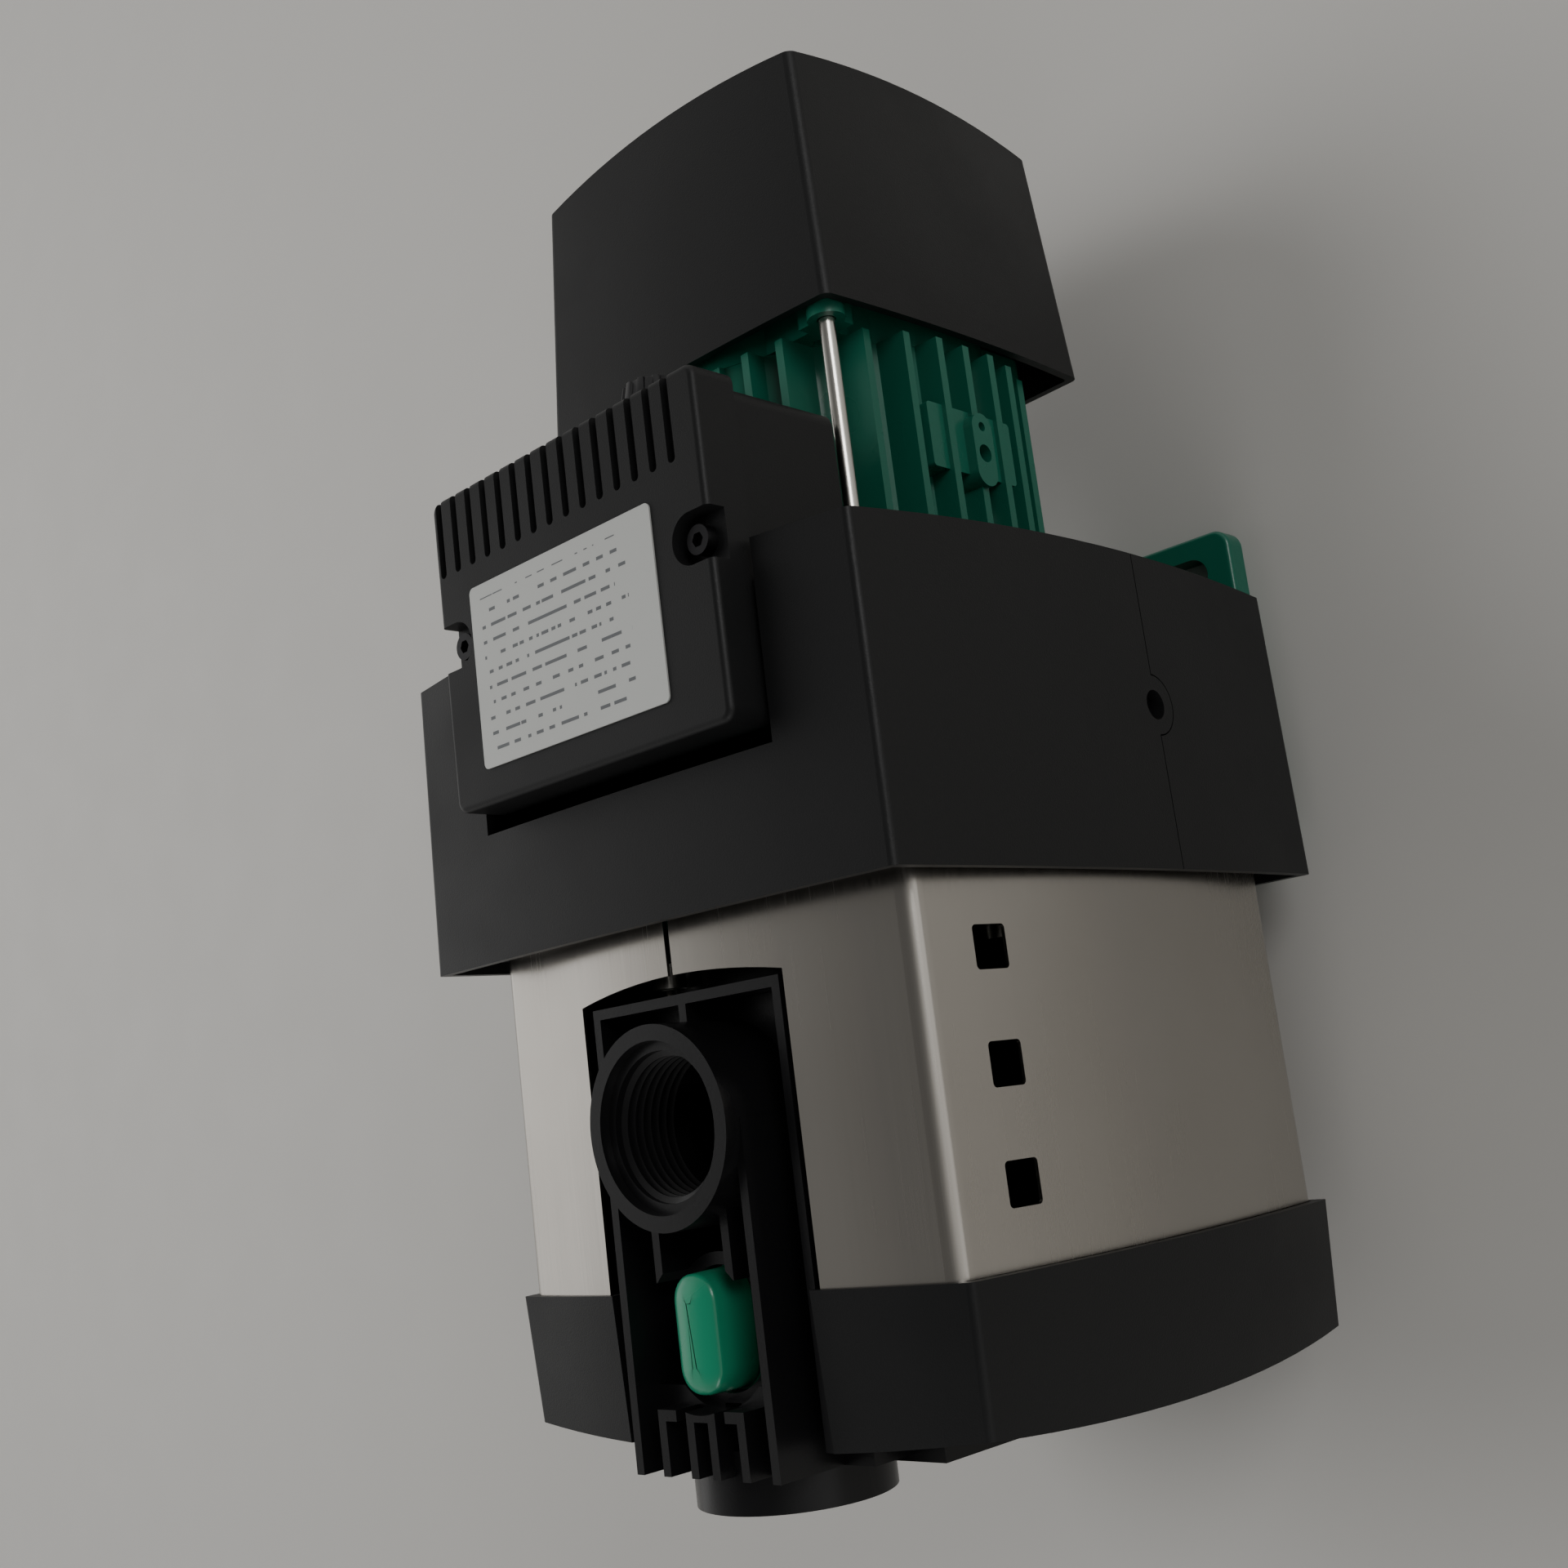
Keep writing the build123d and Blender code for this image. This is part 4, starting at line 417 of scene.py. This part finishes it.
def rod_threads():
    """Rolled thread on the rear ends of the four tie rods."""
    model = thread_ridge(1.95 * MM, 2.22 * MM, 0.7 * MM, 16, 16)
    model.rotation_euler = (-math.pi / 2, 0, 0)
    rods = [model]
    for _ in ROD_PLACES[1:]:
        take(model)
        bpy.ops.object.duplicate()
        rods.append(bpy.context.object)
    start_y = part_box("tie_rods")[1][1] - ROD_THREAD_LONG * MM
    for number, (rod, (x, above_shaft)) in enumerate(zip(rods, ROD_PLACES), start=1):
        rod.location = (x * MM, start_y, (SHAFT_Z + above_shaft) * MM)
        settle(rod, f"tie_rod_thread_{number}", "pump", "zinc_steel")


rod_threads()


NEAR = 1e-5


def at_height(axis, height):
    """Test for faces whose points all lie at one height on an axis."""
    return lambda points: all(abs(point[axis] - height) < NEAR for point in points)


def soften(piece, width, segments, angle=30):
    """Round the edges of a piece that are sharper than an angle."""
    soft = piece.modifiers.new("soft_edges", "BEVEL")
    soft.width = width
    soft.segments = segments
    soft.angle_limit = math.radians(angle)
    bpy.ops.object.modifier_apply(modifier="soft_edges")


def round_bar(radius, long, sides, place, rotation=(0, 0, 0)):
    """Cylinder at its place, with its place in its mesh."""
    deselect()
    bpy.ops.mesh.primitive_cylinder_add(
        vertices=sides, radius=radius, depth=long, location=place, rotation=rotation
    )
    bpy.ops.object.transform_apply(location=True, rotation=True, scale=True)
    return bpy.context.object


GRIP_SIZE = (13.8, 26.0, 11.2)
GRIP_RISE = 2.6
GRIP_CORNER = 6.0
DISC_R, DISC_THICK, DISC_DROP = 13.35, 3.0, 4.4
STEM_R, STEM_LONG, STEM_DROP = 7.2, 11.6, 11.7
STEM_CREST_R, STEM_PITCH, STEM_TURNS = 7.9, 2.0, 4


def grip_block(x, y, top):
    """Long grip with round ends and a roof-like top."""
    deselect()
    bpy.ops.mesh.primitive_cube_add(size=1.0, location=(x, y, top + GRIP_RISE * MM))
    grip = bpy.context.object
    grip.scale = [size * MM for size in GRIP_SIZE]
    bpy.ops.object.transform_apply(location=True, rotation=True, scale=True)
    edit_select(grip, "EDGE", lambda p: abs(p[0].z - p[1].z) > 5 * MM)
    bpy.ops.mesh.bevel(offset=GRIP_CORNER * MM, segments=8, profile=0.5)
    edit_select(grip, "FACE", at_height(2, top + (GRIP_RISE + GRIP_SIZE[2] / 2) * MM))
    bpy.ops.transform.resize(value=(0.95, 0.975, 1))
    bpy.ops.mesh.inset(thickness=2.6 * MM, depth=1.5 * MM)
    bpy.ops.mesh.inset(thickness=3.4 * MM, depth=0.35 * MM)
    bpy.ops.object.mode_set(mode="OBJECT")
    soften(grip, 0.7 * MM, 3, 25)
    return grip


def grip_disc(x, y, top):
    """Disc under the grip, with a shallow dish in its top."""
    disc = round_bar(DISC_R * MM, DISC_THICK * MM, 72, (x, y, top - DISC_DROP * MM))
    edit_select(disc, "FACE", at_height(2, top - (DISC_DROP - DISC_THICK / 2) * MM))
    bpy.ops.mesh.inset(thickness=1.4 * MM, depth=0.0)
    bpy.ops.mesh.inset(thickness=0.5 * MM, depth=-0.7 * MM)
    bpy.ops.object.mode_set(mode="OBJECT")
    soften(disc, 0.35 * MM, 2)
    return disc


def filler_grip():
    """Filler plug: long rounded grip on a disc, over its threaded stem."""
    x, y, top = (value * MM for value in FILLER_AT)
    grip = grip_block(x, y, top)
    disc = grip_disc(x, y, top)

    stem = round_bar(STEM_R * MM, STEM_LONG * MM, 48, (x, y, top - STEM_DROP * MM))
    edit_select(stem, "FACE", at_height(2, top - (STEM_DROP + STEM_LONG / 2) * MM))
    bpy.ops.transform.resize(value=(0.86, 0.86, 1))
    bpy.ops.object.mode_set(mode="OBJECT")
    ridge = thread_ridge(7.1 * MM, STEM_CREST_R * MM, STEM_PITCH * MM, STEM_TURNS, 48)
    take(ridge)
    ridge.location = (x, y, top - 16.6 * MM)
    bpy.ops.object.transform_apply(location=True, rotation=True, scale=True)

    deselect()
    for piece in (disc, stem, ridge, grip):
        piece.select_set(True)
    bpy.context.view_layer.objects.active = grip
    bpy.ops.object.join()
    settle(grip, "filler_plug_grip", "filler_plug_turn", "plug_teal")
    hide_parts("filler_plug")


filler_grip()

CAP_R = 9.4
CAP_SIDES = 48
RIB_STRIPS = 4


def gland_cap():
    """Domed clamping nut of the cable gland with grip ribs."""
    low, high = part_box("gland_nut")
    x, z = (low[0] + high[0]) / 2, (low[2] + high[2]) / 2
    cap = round_bar(
        CAP_R * MM, high[1] - low[1], CAP_SIDES, (x, (low[1] + high[1]) / 2, z), (math.pi / 2, 0, 0)
    )
    edit_select(cap, "FACE", at_height(1, high[1]))
    bpy.ops.transform.resize(value=(0.72, 1, 0.72))
    bpy.ops.mesh.inset(thickness=2.0 * MM, depth=0.5 * MM)
    bpy.ops.mesh.inset(thickness=0.25 * MM, depth=-1.0 * MM)
    bpy.ops.transform.translate(value=(0, -5.0 * MM, 0))
    bpy.ops.object.mode_set(mode="OBJECT")

    def is_rib(points):
        """True for two of every four long strips of the cap's side."""
        centre = sum(points, Vector()) / len(points)
        reach = math.hypot(centre.x - x, centre.z - z)
        angle = math.degrees(math.atan2(centre.z - z, centre.x - x)) % 360
        strip = int(angle // (360 / CAP_SIDES))
        tall = max(q.y for q in points) - min(q.y for q in points)
        return tall > 6 * MM and reach > 7.4 * MM and strip % RIB_STRIPS < 2

    edit_select(cap, "FACE", is_rib)
    bpy.ops.mesh.inset(thickness=0.12 * MM, depth=0.7 * MM)
    bpy.ops.object.mode_set(mode="OBJECT")
    soften(cap, 0.3 * MM, 2)
    settle(cap, "gland_cap", "pump", "nylon_black")
    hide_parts("gland_nut")


gland_cap()


# ------------------------------------------------------------------ floor and light
def build_floor():
    deselect()
    bpy.ops.mesh.primitive_plane_add(size=8.0, location=(0, 0, 0))
    floor = bpy.context.object
    floor.name = "studio_floor"
    material = moulded("floor_grey", (0.43, 0.42, 0.4), 260.0, 0.55, 0.7, 0.0, 0.1)
    floor.data.materials.append(material)


build_floor()


def soft_light(name, place, target, size, power, gleams=True):
    """Round softbox; one that does not gleam lights surfaces but is not mirrored in them."""
    data = bpy.data.lights.new(name, "AREA")
    data.shape = "DISK"
    data.size = size
    data.energy = power
    lamp = bpy.data.objects.new(name, data)
    bpy.context.scene.collection.objects.link(lamp)
    away = Vector(place) - Vector(target)
    lamp.rotation_euler = away.to_track_quat("Z", "Y").to_euler()
    lamp.location = place
    lamp.visible_glossy = gleams


soft_light("key_light", (-1.2, 0.4, 1.7), (0, 0, 0.1), 1.4, 22.0, gleams=False)
soft_light("gleam_light", (-1.9, 0.3, 0.9), (0, 0, 0.1), 1.4, 2.8)
soft_light("side_light", (1.7, 0.9, 1.2), (0, 0, 0.1), 1.0, 14.0)
soft_light("front_light", (0.5, -1.7, 1.1), (0, 0, 0.1), 1.0, 6.0)


def studio_air():
    """Pale walls under a darker ceiling, so that curved steel shows a soft fall of tone."""
    world = bpy.data.worlds.new("studio_air")
    bpy.context.scene.world = world
    world.use_nodes = True
    tree = world.node_tree
    background = tree.nodes["Background"]
    background.inputs["Color"].default_value = (0.95, 0.94, 0.92, 1)
    parts = tree.nodes.new("ShaderNodeSeparateXYZ")
    tree.links.new(tree.nodes.new("ShaderNodeTexCoord").outputs["Generated"], parts.inputs[0])
    fade = tree.nodes.new("ShaderNodeMapRange")
    tree.links.new(parts.outputs[2], fade.inputs["Value"])
    for label, value in (("From Min", 0.15), ("From Max", 0.93), ("To Min", 0.85), ("To Max", 0.14)):
        fade.inputs[label].default_value = value
    tree.links.new(fade.outputs["Result"], background.inputs["Strength"])


studio_air()
